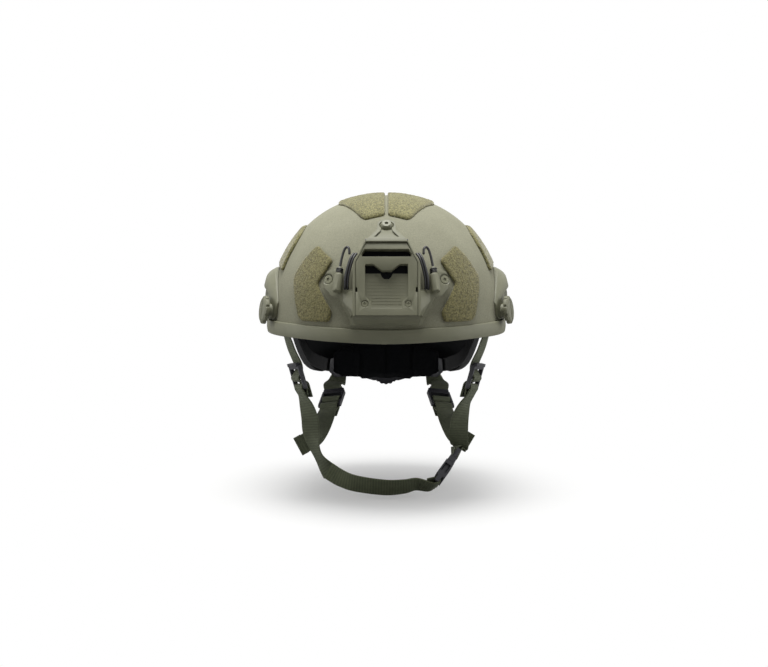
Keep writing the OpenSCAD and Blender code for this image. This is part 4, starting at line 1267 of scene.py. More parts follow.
@dataclass
class Stitches:
    """Rows of sewing thread on a strap: short raised stitches with real gaps between them."""

    name: str
    rows: list[tuple[Sequence[float], Sequence[float]]]
    pitch: float = 2.6
    length: float = 1.9
    thick: float = 0.5
    sides: int = 6

    def build(self, body: str) -> None:
        """Lay a bead of thread for each stitch along each row, in millimetres.

        Args:
            body: Body that the thread moves with.
        """
        points, faces = [], []
        # Place along a stitch and its thickness there, as shares of the whole.
        profile = ((-0.5, 0.25), (-0.3, 1), (0.3, 1), (0.5, 0.25))
        for start, end in self.rows:
            a, b = np.array(start, float), np.array(end, float)
            span = np.linalg.norm(b - a)
            run = (b - a) / span
            side = unit(np.cross(run, (0.31, 0.47, 0.83)))
            lift = np.cross(run, side)
            for s in np.arange(self.pitch / 2, span, self.pitch):
                base = len(points)
                for u, r in profile:
                    for k in range(self.sides):
                        turn = math.radians(360 / self.sides * k)
                        spoke = (math.cos(turn) * side + math.sin(turn) * lift) * r * self.thick / 2
                        points.append((a + run * (s + u * self.length) + spoke) * MM)
                faces += tube_faces(len(profile), self.sides, base)
        made = piece(self.name, points, faces, THREAD)
        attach(made, body)


@dataclass
class Harness:
    """The four-point chin harness."""

    anchor_angle: float = 66
    anchor_height: float = 21
    anchor_off: float = -(FORM.wall / MM + NUT_GAP + NUT_FLANGE) - SEAT_GAP - WEB_THICK / 2
    front: Adjuster = Adjuster((84.5, -40, -50.5), (5.4, 0, 19.5), (0.47, 0.88, 0))
    rear: Adjuster = Adjuster((60, 48, -81), (-8, 36, 22), (0.97, 0.34, -0.1))
    buckle: Adjuster = Adjuster((47.4, -49.2, -146.3), (0.57, 0.455, 0.685), (0.2, -0.8, 0.55))
    socket_bar: float = 2.6
    socket_length: float = 25
    prong_gap: float = 0.5
    plug_length: float = 16
    plug_bar: float = socket_length + prong_gap + plug_length - 3
    web_angle: float = 33

    def bar_loop(self, run: float, s: int, way: Point, far: Point) -> StrapKeys:
        """Keys of a strap end folded round one of the buckle's bars.

        Args:
            run: The bar's place along the buckle.
            s: The side that the strap comes from.
            way: Its direction at the bar.
            far: Direction of its width where it leaves the bar.

        Returns:
            The keys.
        """
        w, r = np.array(self.buckle.across()), self.buckle.loop
        t = unit(np.array(way) - np.dot(way, w) * w)
        out = np.cross(w, t)
        route = [
            (8, -2.6, far), (2, -r - 0.2, w), (-r * 0.72, -r * 0.72, w), (-r, 0, w), (-r * 0.72, r * 0.72, w),
            (2, r, w), (9, 1.4, far),
        ]  # fmt: skip
        centre = np.array(self.buckle.point(run, 0))
        return [(tuple(centre + u * s * t + v * out), tuple(width)) for u, v, width in route]

    def skin_key(self, z: float, off: float) -> Point:
        """Place on the inside of the shell above the front anchor."""
        return tuple(FORM.skin(self.anchor_angle, z * MM, off * MM) / MM)

    def build_front(self, side: Side) -> None:
        """Make the web from the shell down to the front adjuster.

        Args:
            side: Side of the helmet.
        """
        across = (0.23, 0.97, 0)
        z = self.anchor_height
        keys = self.front.threaded() + [
            ((93, -41.5, -14), (0.45, 0.9, 0)),
            ((96.5, -43.5, -3), (0.4, 0.92, 0)),
            (self.skin_key(10, self.anchor_off - 1), across),
            (self.skin_key(z, self.anchor_off), across),
            (self.skin_key(z + 9, self.anchor_off), across),
        ]
        made = Strap(f"front_web_{side.word}_woven", flipped(keys, side)).build()
        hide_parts(f"front_web_{side.word}")
        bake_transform(made)

    def build_cheek(self, side: Side) -> None:
        """Make the strap from the front adjuster down to the chin.

        Args:
            side: Side of the helmet.
        """
        run = [
            ((79.5, -40, -68), (0.72, 0.69, 0)), ((76, -40, -81), (0.88, 0.45, 0)),
            ((74.6, -40, -95), (0.88, 0.42, 0)), ((72, -40.5, -109), (0.66, 0.74, 0.12)),
            ((66, -40.5, -122), (0.6, 0.75, 0.05)), ((54.8, -42, -137), (0.75, 0.3, -0.58)),
        ]  # fmt: skip
        if side is Side.LEFT:
            run = [
                ((77.5, -40, -68), (0.66, 0.75, 0)), ((73.4, -39, -81), (0.9, 0.43, 0)),
                ((72, -36.5, -95), (0.98, 0.15, 0)), ((72.2, -33.5, -104.5), (0.95, -0.3, 0.1)),
                *self.bar_loop(self.plug_bar, 1, (0.24, 0.5, 0.83), (0.54, -0.75, 0.37)),
            ]  # fmt: skip
        made = Strap(f"cheek_strap_{side.word}_woven", flipped(self.front.looped() + run, side)).build()
        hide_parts(f"cheek_strap_{side.word}")
        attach(made, "helmet")

    def build_rear(self, side: Side) -> None:
        """Make the web from the cradle to the rear adjuster, and the strap on from there.

        Args:
            side: Side of the helmet.
        """
        across = tuple(unit((0.84, -0.54, 0)))
        slot = np.array(self.slot_place())
        low = self.rear.threaded()
        meet = ((59, 88, -64), (0.95, 0.1, 0))
        high = [
            (tuple(slot + (1, 1.5, -11)), across),
            (tuple(slot + (0.3, 0.4, 2)), across),
            (tuple(slot + (0.3, 0.4, 8)), across),
        ]
        web = Strap(f"rear_web_{side.word}_woven", flipped([*low, meet, *high], side))
        # The web is made in two lengths, parted part way between the adjuster and the cradle: the upper one runs on
        # to the cradle's slot, the lower one is threaded through the adjuster.
        cut = web.share_near((side.value * 58.5, 78, -65.5))
        made = replace(web, share=(cut, 1)).build()
        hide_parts(f"rear_web_{side.word}")
        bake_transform(made)
        end = replace(web, name=f"rear_web_{side.word}_threaded", share=(0, cut)).build()
        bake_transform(end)
        left = side is Side.LEFT
        run = [
            ((64.5, 20, -92), (0.9, 0.2, 0.3)), ((68, -8, -99), (0.7, 0.1, 0.7)),
            ((71.5, -16 if left else -23, -103), (0.5, 0, 0.85)),
        ]  # fmt: skip
        foot = [((79.5, -28.5, -107.5), (0.46, 0, 0.88)), ((88, -30, -112), (0.5, 0, 0.86))]
        if left:
            foot = [((78, -22, -106.6), (0.5, 0, 0.85)), ((83.6, -24, -109.8), (0.6, 0, 0.8))]
        made = Strap(f"rear_strap_{side.word}_woven", flipped(self.rear.looped() + run + foot, side)).build()
        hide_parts(f"rear_strap_{side.word}")
        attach(made, "helmet")
        tip, width = np.array(foot[-1][0]), foot[-1][1]
        back = unit(np.array(foot[0][0]) - tip)
        hem = Strap(
            f"rear_strap_{side.word}_hem", flipped([(tuple(tip + back * at), width) for at in (7, 3, -0.6)], side),
            width=19.6, thick=2 * WEB_THICK, ribs=0.05, rib_pitch=1.6,
        )  # fmt: skip
        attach(hem.build(), "helmet")

    def slot_place(self) -> Point:
        """Place of the rear webbing's slot on the nape carrier."""
        return CRADLE.place(self.web_angle, CRADLE.outer + 1.2, -49)

    def build_chin(self) -> None:
        """Make the band round the chin."""
        keys = [
            ((-57.5, -46.8, -132.8), (0.05, -0.25, 0.97)), ((-45.4, -49, -139.9), (0.1, -0.3, 0.94)),
            ((-30, -53.5, -144.6), (0.06, -0.4, 0.9)), ((-2, -57.5, -147.7), (0, -0.47, 0.88)),
            ((17, -56, -147.2), (-0.02, -0.56, 0.83)), ((29, -54, -145.3), (-0.02, -0.66, 0.75)),
            *self.bar_loop(self.socket_bar, -1, (0.97, 0.2, 0.23), (0.02, -0.78, 0.62)),
        ]  # fmt: skip
        # The band's lighter webbing is painted light.
        band = Strap("chin_band_woven", keys, ribs=0.07, rib_pitch=1.6, finish=LIT_CHIN_WEBBING)
        made = band.build()
        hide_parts("chin_band")
        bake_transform(made)
        Stitches("chin_band_bar_tack", [band.row(at) for at in (93, 95.2, 97.4)]).build("chin")
        Stitches("chin_band_end_tack", [band.row(at) for at in (2.2, 7.5)]).build("helmet")

    def build(self, frame: dict) -> None:
        """Make every strap and dress the adjusters and the buckle.

        Args:
            frame: The loaded CAD frame.
        """
        for side in Side:
            self.build_front(side)
            self.build_cheek(side)
            self.build_rear(side)
            Kept(f"front_lock_{side.word}", HARDWARE, 0.5).dress(frame)
            Kept(f"rear_lock_{side.word}", HARDWARE, 0.5).dress(frame)
        self.build_chin()
        Kept("buckle_socket", HARDWARE, 1.4).dress(frame)
        Kept("buckle_plug", HARDWARE, 0.5).dress(frame)
        LOG.info("made the harness")


def bar(
    name: str, routes: Sequence[Sequence[Point]], radius: float, finish: Finish, sides: int, steps: int
) -> bpy.types.Object:
    """Round bars through points in millimetres, with domed ends.

    Args:
        name: Name of the piece.
        routes: Points of each bar's centre line.
        radius: Their radius.
        finish: Their surface.
        sides: Facets round a bar.
        steps: New points for each span of a route.

    Returns:
        The piece.
    """
    points: list[np.ndarray] = []
    faces: Faces = []
    for route in routes:
        rings = bar_rings(curve_through(route, steps), radius, sides)
        faces += tube_faces(len(rings), sides, len(points))
        points += [p * MM for ring in rings for p in ring]
    return piece(name, points, faces, finish)


def bar_rings(centres: np.ndarray, radius: float, sides: int) -> list[list[np.ndarray]]:
    """Rings of points round a centre line, with a smaller one at each end.

    Args:
        centres: Rows of places on the centre line.
        radius: The bar's radius.
        sides: Facets round it.

    Returns:
        The rings, from one end to the other.
    """
    run = np.gradient(centres, axis=0)
    side = unit(np.cross(run[0], (0.2, 0.9, 0.4)))
    rings = []
    for centre, way in zip(centres, run):
        way = unit(way)
        side = unit(side - side.dot(way) * way)
        lift = np.cross(way, side)
        turns = [math.tau * k / sides for k in range(sides)]
        rings.append([centre + radius * (math.cos(t) * side + math.sin(t) * lift) for t in turns])
    for at, way in ((0, -unit(run[0])), (-1, unit(run[-1]))):
        cap = [centres[at] + 0.6 * (p - centres[at]) + way * radius * 0.5 for p in rings[at]]
        if at == 0:
            rings.insert(0, cap)
        else:
            rings.append(cap)
    return rings


@dataclass
class Shroud:
    """The night-vision shroud with its cords and hooks."""

    strand: float = 1.12
    wire: float = 1.2
    coil_wire: float = 0.62
    coil_radius: float = 2.9
    coil_turns: int = 3
    coil_pitch: float = 1.5
    hook_rise: float = 19.4
    insert_foot: Point = (0, -148.5, 27)
    insert_lean: float = 17
    hook_foot: Point = (45.2, -134.68, 47.5)
    hook_dir: Point = (-0.12, 0.34, 0.93)
    grip: float = 17
    cap: float = 7
    rib_count: int = 8
    rib_foot: float = 11.5
    rib_pitch: float = 3
    rib_height: float = 0.55
    cord_route: Sequence[Point] = (
        (28.6, -123.2, 82), (31.4, -127, 78), (34, -131, 70), (36, -133.4, 61), (36.6, -134, 53),
        (36.4, -133.6, 50.2),
    )  # fmt: skip

    def hook_point(self, p: Point, side: Side) -> Point:
        """Place in the hook's own axes, turned onto the shroud's ear.

        Args:
            p: Place in the hook's axes, the last of which runs up its barrel.
            side: Side of the helmet.

        Returns:
            The place in the frame's axes, in millimetres.
        """
        up = unit(self.hook_dir)
        y = unit(np.cross(up, (1, 0.4, 0)))
        x = np.cross(y, up)
        at = np.array(self.hook_foot) + p[0] * x + p[1] * y + p[2] * up
        return (side.value * at[0], at[1], at[2])

    def build_hook(self, side: Side) -> None:
        """Make the wire hook and the wraps of wire at its root.

        Args:
            side: Side of the helmet.
        """
        top = self.grip + self.cap + self.hook_rise
        route = [
            (0, 0, self.grip + 1.6), (0, 0, self.grip + self.cap + 1), (-0.6, 0, top - 9.6), (-2, 0, top - 2.4),
            (-4.4, 0, top), (-6.6, 0, top - 2.2), (-7.4, 0, top - 6.6),
        ]  # fmt: skip
        bent = [self.hook_point(p, side) for p in route]
        wire = bar(f"hook_wire_{side.word}_bent", [bent], self.wire, WIRE, 12, 6)
        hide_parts(f"hook_wire_{side.word}")
        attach(wire, f"hook_{side.word}")
        coil, radius, per_turn = [], self.coil_radius, 12
        for k in range(self.coil_turns * per_turn + 1):
            t = math.tau * k / per_turn
            up = self.grip + 0.9 + self.coil_pitch * k / per_turn
            coil.append(self.hook_point((radius * math.cos(t), radius * math.sin(t), up), side))
        wrap = bar(f"hook_spring_{side.word}", [coil], self.coil_wire, WIRE, 8, 2)
        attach(wrap, f"hook_{side.word}")

    def insert_point(self, x: float, up: float, out: float) -> np.ndarray:
        """Place in the insert plate's own axes, in metres of the frame.

        Args:
            x: Place across the plate.
            up: Place up the plate.
            out: Distance out of its face.

        Returns:
            The place.
        """
        lean = math.radians(self.insert_lean)
        rise = np.array([0, math.sin(lean), math.cos(lean)])
        face = np.array([0, -math.cos(lean), math.sin(lean)])
        return (np.array(self.insert_foot) + x * np.array([1, 0, 0]) + up * rise + out * face) * MM

    def on_insert(
        self, name: str, outlines: Sequence[Keys], out: tuple[float, float], finish: Finish
    ) -> None:
        """Make thin plates on the insert, each between two distances from its face.

        Args:
            name: Name of the piece.
            outlines: Outlines across and up the plate.
            out: Distances of their backs and fronts out of the plate's face.
            finish: Their surface.
        """
        points: list[np.ndarray] = []
        faces: Faces = []
        for outline in outlines:
            start, n = len(points), len(outline)
            points += [self.insert_point(x, up, w) for w in out for x, up in outline]
            faces += [tuple(range(start, start + n)), tuple(range(start + 2 * n - 1, start + n - 1, -1))]
            faces += [(start + i, start + (i + 1) % n, start + n + (i + 1) % n, start + n + i) for i in range(n)]
        made = piece(name, points, faces, finish)
        soften(made, 0.08, 1)
        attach(made, "helmet")

    def dress_insert(self) -> None:
        """Lay black sheets of painted shade in the insert's slot and its socket's head, and rib the socket's floor.
        """
        slot = [(-22, 55.2), (22, 55.2), (22.4, 57.4), (19.8, 61.8), (-19.8, 61.8), (-22.4, 57.4)]
        head = [
            (-19.2, 47.8), (-12, 47.8), (-4.2, 41.8), (4.2, 41.8), (12, 47.8), (19.2, 47.8), (19.2, 40.6),
            (5.6, 40.6), (4.2, 37.4), (2, 35.4), (-2, 35.4), (-4.2, 37.4), (-5.6, 40.6), (-19.2, 40.6),
        ]  # fmt: skip
        # Black sheets of painted shade, where the slot and the socket's head fall dark.
        self.on_insert("slot_lining", [slot], (-7.7, -7.2), SHADE_BLACK_SHEET)
        self.on_insert("socket_lining", [head], (-6.1, -5.75), SHADE_BLACK_SHEET)
        ribs = []
        for k in range(self.rib_count):
            low = self.rib_foot + self.rib_pitch * k
            high = low + self.rib_height
            half = 13.5 if low < 18 else 17.5
            ribs.append([(-half, low), (half, low), (half, high), (-half, high)])
        self.on_insert("socket_ribs", ribs, (-6.1, -5.86), MOULDED)

    def build(self, frame: dict) -> None:
        """Make the cords and hooks, and dress the moulded pieces.

        Args:
            frame: The loaded CAD frame.
        """
        self.dress_insert()
        for side in Side:
            # The elastic is doubled, with its two strands side by side.
            strands = [
                [(side.value * (p[0] + apart), p[1] - 0.4 * apart, p[2]) for p in self.cord_route]
                for apart in (-self.strand, self.strand)
            ]
            cord = bar(f"bungee_{side.word}_cord", strands, self.strand + 0.12, CORD, 14, 6)
            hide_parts(f"bungee_{side.word}")
            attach(cord, "helmet")
            self.build_hook(side)
            Kept(f"hook_grip_{side.word}", MOULDED, 0.5).dress(frame)
        Kept("shroud_frame", MOULDED, 0.6).dress(frame)
        Kept("shroud_insert", MOULDED, 0.5).dress(frame)
        Kept("shroud_screws", PAINTED_STEEL, 0.4).dress(frame)
        Kept("insert_screws", PAINTED_STEEL, 0.2).dress(frame)
        Kept("lip_pin", BLACK_STEEL, 0.2).dress(frame)
        LOG.info("made the shroud")


@dataclass
class Rails:
    """The side rails with their screws, nuts and thumb knobs."""

    def build(self, frame: dict) -> None:
        """Dress the rails and what is on them.

        Args:
            frame: The loaded CAD frame.
        """
        for side in Side:
            Kept(f"rail_{side.word}", MOULDED, 0.45).dress(frame)
            Kept(f"knob_{side.word}", MOULDED, 0.5).dress(frame)
        Kept("rail_screws", BLACK_STEEL, 0.35).dress(frame)
        Kept("inner_nuts", BLACK_STEEL, 0.2).dress(frame)
        LOG.info("dressed the rails")


@dataclass
class Pad:
    """A foam pad in brushed knit, plumped by cloth simulation and quilted afterwards."""

    node: str
    points: np.ndarray
    faces: Faces
    body: str
    seams: Callable[[np.ndarray], np.ndarray]
    voxel: float = 4.5
    reach: float = 6
    fill: float = 0.6
    clear: float = 0.4
    pressure: float = 4
    frames: int = 20

    def build(self) -> None:
        """Remesh the plain form, plump it, keep it inside the shell and press its seams."""
        made = piece(self.node + "_plumped", self.points, self.faces, PAD_CLOTH)
        remesh = made.modifiers.new("remesh", "REMESH")
        remesh.mode = "VOXEL"
        remesh.voxel_size = self.voxel * MM
        self.apply(made)
        rest = self.places(made)
        self.plump(made)
        moved = self.places(made) - rest
        far = np.linalg.norm(moved, axis=1, keepdims=True)
        now = rest + moved * np.minimum(1, self.reach * MM / np.maximum(far, 1e-9))
        made.data.vertices.foreach_set("co", self.held_in(now).ravel())
        finer = made.modifiers.new("finer", "SUBSURF")
        finer.levels = finer.render_levels = 1
        self.apply(made)
        now = self.held_in(self.places(made) + self.seams(self.places(made)))
        made.data.vertices.foreach_set("co", now.ravel())
        made.data.shade_smooth()
        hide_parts(self.node)
        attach(made, self.body)
        LOG.info("made %s with %d points", made.name, len(now))

    def held_in(self, now: np.ndarray) -> np.ndarray:
        """Points pushed back inside the shell's inner face, where they lie beside it.

        Args:
            now: Rows of places in metres.

        Returns:
            The places, moved where they have to be.
        """
        if self.body != "helmet":
            return now
        over = np.maximum(0, FORM.depth(now) + FORM.wall + self.clear * MM)
        inward = -now / np.linalg.norm(now, axis=1, keepdims=True)
        return now + inward * over[:, None]

    def places(self, made: bpy.types.Object) -> np.ndarray:
        """The mesh's points.

        Args:
            made: The pad's piece.

        Returns:
            A row for each point.
        """
        found = np.zeros(len(made.data.vertices) * 3)
        made.data.vertices.foreach_get("co", found)
        return found.reshape(-1, 3)

    def apply(self, made: bpy.types.Object) -> None:
        """Turn the piece's modifiers into its mesh.

        Args:
            made: The pad's piece.
        """
        graph = bpy.context.evaluated_depsgraph_get()
        mesh = bpy.data.meshes.new_from_object(made.evaluated_get(graph))
        made.modifiers.clear()
        made.data = mesh
        if not mesh.materials:
            mesh.materials.append(PAD_CLOTH.material())

    def plump(self, made: bpy.types.Object) -> None:
        """Blow the cover out with cloth under pressure, with no gravity.

        Args:
            made: The pad's piece.
        """
        cloth = made.modifiers.new("cloth", "CLOTH")
        cloth.settings.use_pressure = True
        cloth.settings.uniform_pressure_force = self.pressure
        cloth.settings.quality = 4
        cloth.settings.mass = 0.3
        cloth.settings.effector_weights.gravity = 0
        cloth.point_cache.frame_end = self.frames
        scene = bpy.context.scene
        for number in range(1, self.frames + 1):
            scene.frame_set(number)
        self.apply(made)
        scene.frame_set(1)


@dataclass
class Padding:
    """The seven pads inside the shell, the nape pad and the headband."""

    thick: float = 17
    gap: float = 0.6
    swell: float = 0.6
    rim_share: float = 0.3
    belly_share: float = 0.55
    seam_from: float = 12
    seam_fade: float = 6
    seam_press: float = 4
    band_width: float = 14
    band_thick: float = 1.4

    def closed(self, back: np.ndarray, face: np.ndarray) -> tuple[np.ndarray, Faces]:
        """Join two grids of points into one closed form.

        Args:
            back: Grid of places on the shell's side.
            face: Grid of places on the head's side.

        Returns:
            The places and the faces.
        """
        rows, columns = back.shape[:2]
        count = rows * columns
        faces = grid_faces(rows, columns) + grid_faces(rows, columns, start=count)
        rim = list(range(columns - 1)) + [i * columns + columns - 1 for i in range(rows - 1)]
        rim += [(rows - 1) * columns + j for j in range(columns - 1, 0, -1)]
        rim += [i * columns for i in range(rows - 1, 0, -1)]
        faces += [(a, b, b + count, a + count) for a, b in zip(rim, rim[1:] + rim[:1])]
        return np.concatenate([back.reshape(-1, 3), face.reshape(-1, 3)]), faces

    def full(self, u: float, v: float) -> float:
        """How full a pad is at a place, drawn in at its edges."""
        return math.sqrt((1 - abs(2 * u - 1) ** 4) * (1 - abs(2 * v - 1) ** 4))

    def back_off(self) -> float:
        """Where a pad's back starts from the skin, with room left to swell into."""
        return -FORM.wall / MM - self.gap - self.swell

    def face_off(self, u: float, v: float) -> float:
        """Where a pad's face starts from the skin, at a place across and along it."""
        return self.back_off() - self.thick * (self.rim_share + self.belly_share * self.full(u, v))

    def pressed(self, p: np.ndarray) -> np.ndarray:
        """How far a seam presses each point in, from nought near the shell to one at a pad's face."""
        return np.clip((-FORM.depth(p) / MM - self.seam_from) / self.seam_fade, 0, 1)

    def wall_pad(self, node: str, angles: tuple[float, float], heights: tuple[float, float], channels: int) -> None:
        """Make a pad on the side of the shell.

        Args:
            node: Name of the CAD node that the pad replaces.
            angles: Its two ends, as angles from the face.
            heights: Its lower and upper edge.
            channels: Number of sewn channels up it.
        """
        up, across = 14, 22

        def at(i: int, j: int, off: float) -> np.ndarray:
            """Point of the pad's grid, with its corners drawn in.

            Args:
                i: Row of the grid.
                j: Column of the grid.
                off: Distance outside the shell.

            Returns:
                The point in metres.
            """
            v, u = i / up, j / across
            corner = 0.06 * abs(2 * v - 1) ** 8
            share = corner + (1 - 2 * corner) * u
            a = angles[0] + (angles[1] - angles[0]) * share
            return FORM.skin(a, (heights[0] + (heights[1] - heights[0]) * v) * MM, off * MM)

        grid = [(i, j) for i in range(up + 1) for j in range(across + 1)]
        shape = (up + 1, across + 1, 3)
        back = np.array([at(i, j, self.back_off()) for i, j in grid]).reshape(shape)
        face = np.array([at(i, j, self.face_off(j / across, i / up)) for i, j in grid]).reshape(shape)
        points, faces = self.closed(back, face)

        def seams(p: np.ndarray) -> np.ndarray:
            """Press a channel between each two chambers.

            Args:
                p: Rows of places in metres.

            Returns:
                How far each place moves.
            """
            a = np.degrees(np.arctan2(p[:, 0], -p[:, 1])) % 360
            low, high = sorted(x % 360 for x in angles) if angles[0] >= 0 else angles
            a = np.where(a > 180, a - 360, a) if angles[0] < 0 and angles[1] > 0 else a
            share = (a - low) / (high - low)
            places = [c / (channels + 1) for c in range(1, channels + 1)]
            lines = [np.exp(-(((share - place) * (high - low) / 1.4) ** 2)) for place in places]
            depth = np.max(lines, axis=0) * self.pressed(p)
            out = p * (1, 1, 0)
            return out / np.linalg.norm(out, axis=1, keepdims=True) * depth[:, None] * self.seam_press * MM

        Pad(node, points, faces, "helmet", seams).build()

    def crown_pad(self) -> None:
        """Make the pad at the top of the shell."""
        n, reach, draw = 20, (44, 58), 0.42

        def at(i: int, j: int, off: float) -> np.ndarray:
            """Point of a square grid eased into a rounded outline.

            Args:
                i: Row of the grid.
                j: Column of the grid.
                off: Distance outside the shell.

            Returns:
                The point in metres.
            """
            v, u = 2 * i / n - 1, 2 * j / n - 1
            x = u * math.sqrt(1 - v * v * draw) * reach[0] * MM
            y = v * math.sqrt(1 - u * u * draw) * reach[1] * MM
            return FORM.dome(x, y, off * MM)

        grid = [(i, j) for i in range(n + 1) for j in range(n + 1)]
        shape = (n + 1, n + 1, 3)
        back = np.array([at(i, j, self.back_off()) for i, j in grid]).reshape(shape)
        face = np.array([at(i, j, self.face_off(j / n, i / n)) for i, j in grid]).reshape(shape)
        points, faces = self.closed(back, face)

        def seams(p: np.ndarray) -> np.ndarray:
            """Press a channel along the middle."""
            line = np.exp(-((p[:, 0] / (2.6 * MM)) ** 2)) * self.pressed(p)
            return np.outer(line, (0, 0, self.seam_press * MM))

        Pad("pad_crown", points, faces, "helmet", seams).build()

    def nape_pad(self) -> None:
        """Make the quilted pad on the nape cradle."""
        up, across, r, thick, wide = 12, 30, CRADLE.radius, CRADLE.pad, 108
        half = math.asin(wide / 2 / r)

        def at(i: int, j: int, inner: bool) -> Point:
            """Point of the pad, which dips at its ends.

            Args:
                i: Row of the grid.
                j: Column of the grid.
                inner: Whether it is on the head's side.

            Returns:
                The point in metres.
            """
            v, u = i / up, j / across
            s = 2 * u - 1
            z0 = -60 + 10 * s**4 - 1.5 * (1 - abs(s))
            z1 = -16 - 14 * abs(s) ** 3
            reach = r + (thick * 0.6 * (1 - self.full(u, v)) + 0.6 if inner else thick - 0.5)
            angle = -half + 2 * half * u
            x, y = reach * math.sin(angle), CRADLE.centre_y + reach * math.cos(angle)
            return (x * MM, y * MM, (z0 + (z1 - z0) * v) * MM)

        grid = [(i, j) for i in range(up + 1) for j in range(across + 1)]
        shape = (up + 1, across + 1, 3)
        back = np.array([at(i, j, False) for i, j in grid]).reshape(shape)
        face = np.array([at(i, j, True) for i, j in grid]).reshape(shape)
        points, faces = self.closed(back, face)

        def seams(p: np.ndarray) -> np.ndarray:
            """Press three channels down the pad's inner face.

            Args:
                p: Rows of places in metres.

            Returns:
                How far each place moves.
            """
            x, y = p[:, 0], p[:, 1] - CRADLE.centre_y * MM
            turn = np.arctan2(x, y)
            radius = np.hypot(x, y) / MM
            lines = [np.exp(-(((turn - half * (c / 2 - 1)) * r / 2.6) ** 2)) for c in range(1, 4)]
            depth = np.max(lines, axis=0) * np.clip((r + thick - 1 - radius) / 6, 0, 1)
            return np.stack([np.sin(turn), np.cos(turn), 0 * turn], axis=1) * depth[:, None] * 2.6 * MM

        Pad("nape_pad", points, faces, "cradle", seams, voxel=4, reach=3).build()

    def band(self, side: Side) -> None:
        """Make the headband strip from the cradle to the temple.

        Args:
            side: Side of the helmet.
        """
        end = np.array(CRADLE.place(40, CRADLE.outer + SEAT_GAP + 0.8, -43))
        place = [tuple(FORM.skin(92, z * MM, off * MM) / MM) for z, off in ((36, -13.25), (47, -11.75), (54, -11.75))]
        keys = [
            (tuple(end), (0, 0, 1)),
            (tuple(end + (8, -9, 3)), (0, 0, 1)),
            ((82, 66, -30), (0, 0.3, 1)),
            ((92, 44, -6), (0, 0.75, 0.65)),
            ((97, 24, 18), (0, 0.85, 0.5)),
            (place[0], (0, 1, 0.1)),
            (place[1], (0, 1, 0)),
            (place[2], (0, 1, 0)),
        ]
        strip = Strap(
            f"band_{side.word}_strip", flipped(keys, side), self.band_width, self.band_thick,
            ribs=0.02, finish=STRIP, slot="band_strip",
        )  # fmt: skip
        made = strip.build()
        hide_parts(f"band_{side.word}")
        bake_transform(made)

    def build(self, frame: dict) -> None:
        """Make every pad and dress the cradle.

        Args:
            frame: The loaded CAD frame.
        """
        self.wall_pad("pad_front", (-33, 33), (12.5, 47), 3)
        self.wall_pad("pad_rear", (156, 204), (-14, 48), 3)
        self.wall_pad("pad_side_left", (72, 86.5), (33, 82), 1)
        self.wall_pad("pad_side_right", (-86.5, -72), (33, 82), 1)
        self.wall_pad("pad_rear_left", (98.5, 115.5), (50, 92), 1)
        self.wall_pad("pad_rear_right", (-115.5, -98.5), (50, 92), 1)
        self.crown_pad()
        self.nape_pad()
        for side in Side:
            self.band(side)
        Kept("nape_carrier", HARDWARE, 0.4).dress(frame)
        Kept("dial_knob", HARDWARE, 0.5).dress(frame)
        Kept("dial_spool", BLACK_STEEL, 0.2).dress(frame)
        LOG.info("made the padding and the cradle")


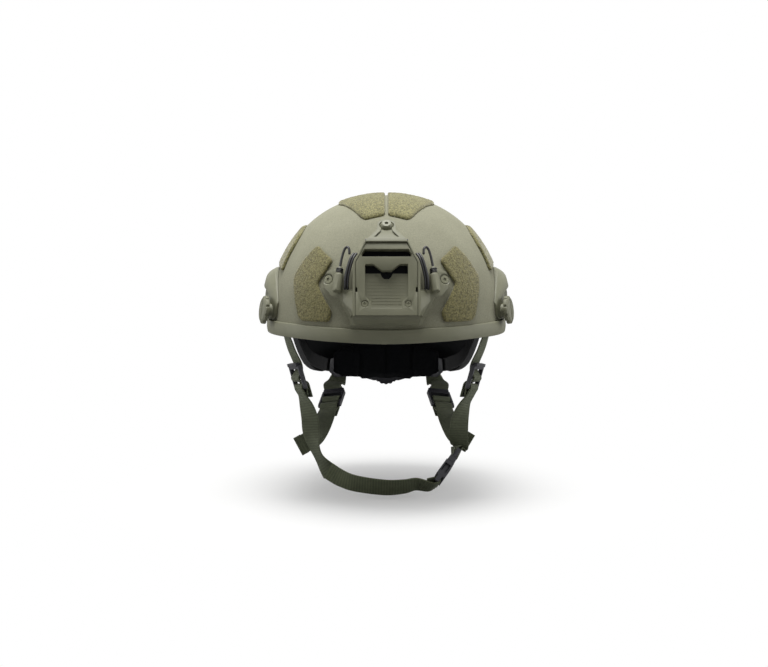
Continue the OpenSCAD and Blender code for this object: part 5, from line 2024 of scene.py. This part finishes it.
@dataclass
class Studio:
    """Pale floor, soft lamps and the camera at the photograph's viewing angle."""

    width_px: int = 768
    down_px: float = 1
    focal_px: float = 1232
    sensor_mm: float = 36
    distance: float = 1.25
    height: float = 0.098
    aside: float = -0.0023
    pitch: float = 0.0797
    floor_gap: float = 0.004
    floor_half: float = 4
    ambient: float = 0.07
    aim: Point = (0, 0, 0.02)
    lamp_size: float = 1
    lamps: tuple[tuple[str, Point, float], ...] = (
        ("overhead", (-0.05, -0.12, 1.5), 32),
        ("left", (-1.5, -0.12, 0.3), 7.5),
        ("right", (1.5, -0.12, 0.3), 8.5),
    )

    def build_camera(self) -> None:
        """Put the camera where the photograph was taken from."""
        data = bpy.data.cameras.new("camera")
        data.sensor_width = self.sensor_mm
        data.lens = self.focal_px / self.width_px * self.sensor_mm
        data.shift_y = self.down_px / self.width_px
        camera = bpy.data.objects.new("camera", data)
        camera.location = (self.aside, -self.distance, self.height)
        camera.rotation_euler = (math.pi / 2 - self.pitch, 0, 0)
        bpy.context.scene.collection.objects.link(camera)
        bpy.context.scene.camera = camera

    def softbox(self, name: str, at: Point, watts: float) -> None:
        """Add a square lamp that looks at the helmet.

        Args:
            name: Name of the lamp.
            at: Its place in metres.
            watts: Its power.
        """
        data = bpy.data.lights.new(name, "AREA")
        data.shape = "SQUARE"
        data.size = self.lamp_size
        data.energy = watts
        lamp = bpy.data.objects.new(name, data)
        lamp.location = at
        lamp.rotation_euler = (Vector(self.aim) - Vector(at)).to_track_quat("-Z", "Y").to_euler()
        bpy.context.scene.collection.objects.link(lamp)

    def white_where_seen(self, tree: Tree) -> Socket:
        """One where the camera, a reflection or a view through glass sees the surface, and nought for light.

        Args:
            tree: Node tree of the world.

        Returns:
            The value.
        """
        path = add_node(tree, "ShaderNodeLightPath")
        seen = add_node(
            tree,
            "ShaderNodeMath",
            {0: path.outputs["Is Camera Ray"], 1: path.outputs["Is Glossy Ray"]},
            operation="MAXIMUM",
        )
        both = add_node(
            tree, "ShaderNodeMath", {0: seen.outputs[0], 1: path.outputs["Is Transmission Ray"]}, operation="MAXIMUM"
        )
        return both.outputs[0]

    def build_world(self) -> None:
        """Light the scene softly from all round, with a white backdrop."""
        world = bpy.data.worlds.new("studio")
        world.use_nodes = True
        tree = world.node_tree
        tree.nodes.clear()
        strength = add_node(
            tree,
            "ShaderNodeMapRange",
            {"Value": self.white_where_seen(tree), "To Min": self.ambient, "To Max": 1.0},
        )
        sky = add_node(tree, "ShaderNodeBackground", {"Color": (1, 1, 1, 1), "Strength": strength.outputs["Result"]})
        add_node(tree, "ShaderNodeOutputWorld", {"Surface": sky.outputs[0]})
        bpy.context.scene.world = world

    def build_floor(self, level: float) -> None:
        """Lay a pale floor just under the lowest piece.

        Args:
            level: Height of its face in metres.
        """
        half = self.floor_half
        corners = [(x, y, 0) for x, y in ((-half, -half), (half, -half), (half, half), (-half, half))]
        floor = piece("floor", corners, [(0, 1, 2, 3)], PAPER)
        floor.location = (0, 0, level)
        floor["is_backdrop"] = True

    def build(self) -> None:
        """Set up the studio."""
        bpy.context.scene.view_settings.view_transform = "Standard"
        self.build_camera()
        self.build_world()
        for lamp in self.lamps:
            self.softbox(*lamp)
        self.build_floor(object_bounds()[0][2] - self.floor_gap)
        LOG.info("set up the studio")


def main() -> None:
    """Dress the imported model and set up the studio."""
    logging.basicConfig(level=logging.INFO, format="%(name)s: %(message)s")
    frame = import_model()
    Shell().build()
    Patches().build()
    Shroud().build(frame)
    Rails().build(frame)
    Harness().build(frame)
    Padding().build(frame)
    Studio().build()


if __name__ == "__main__":
    main()
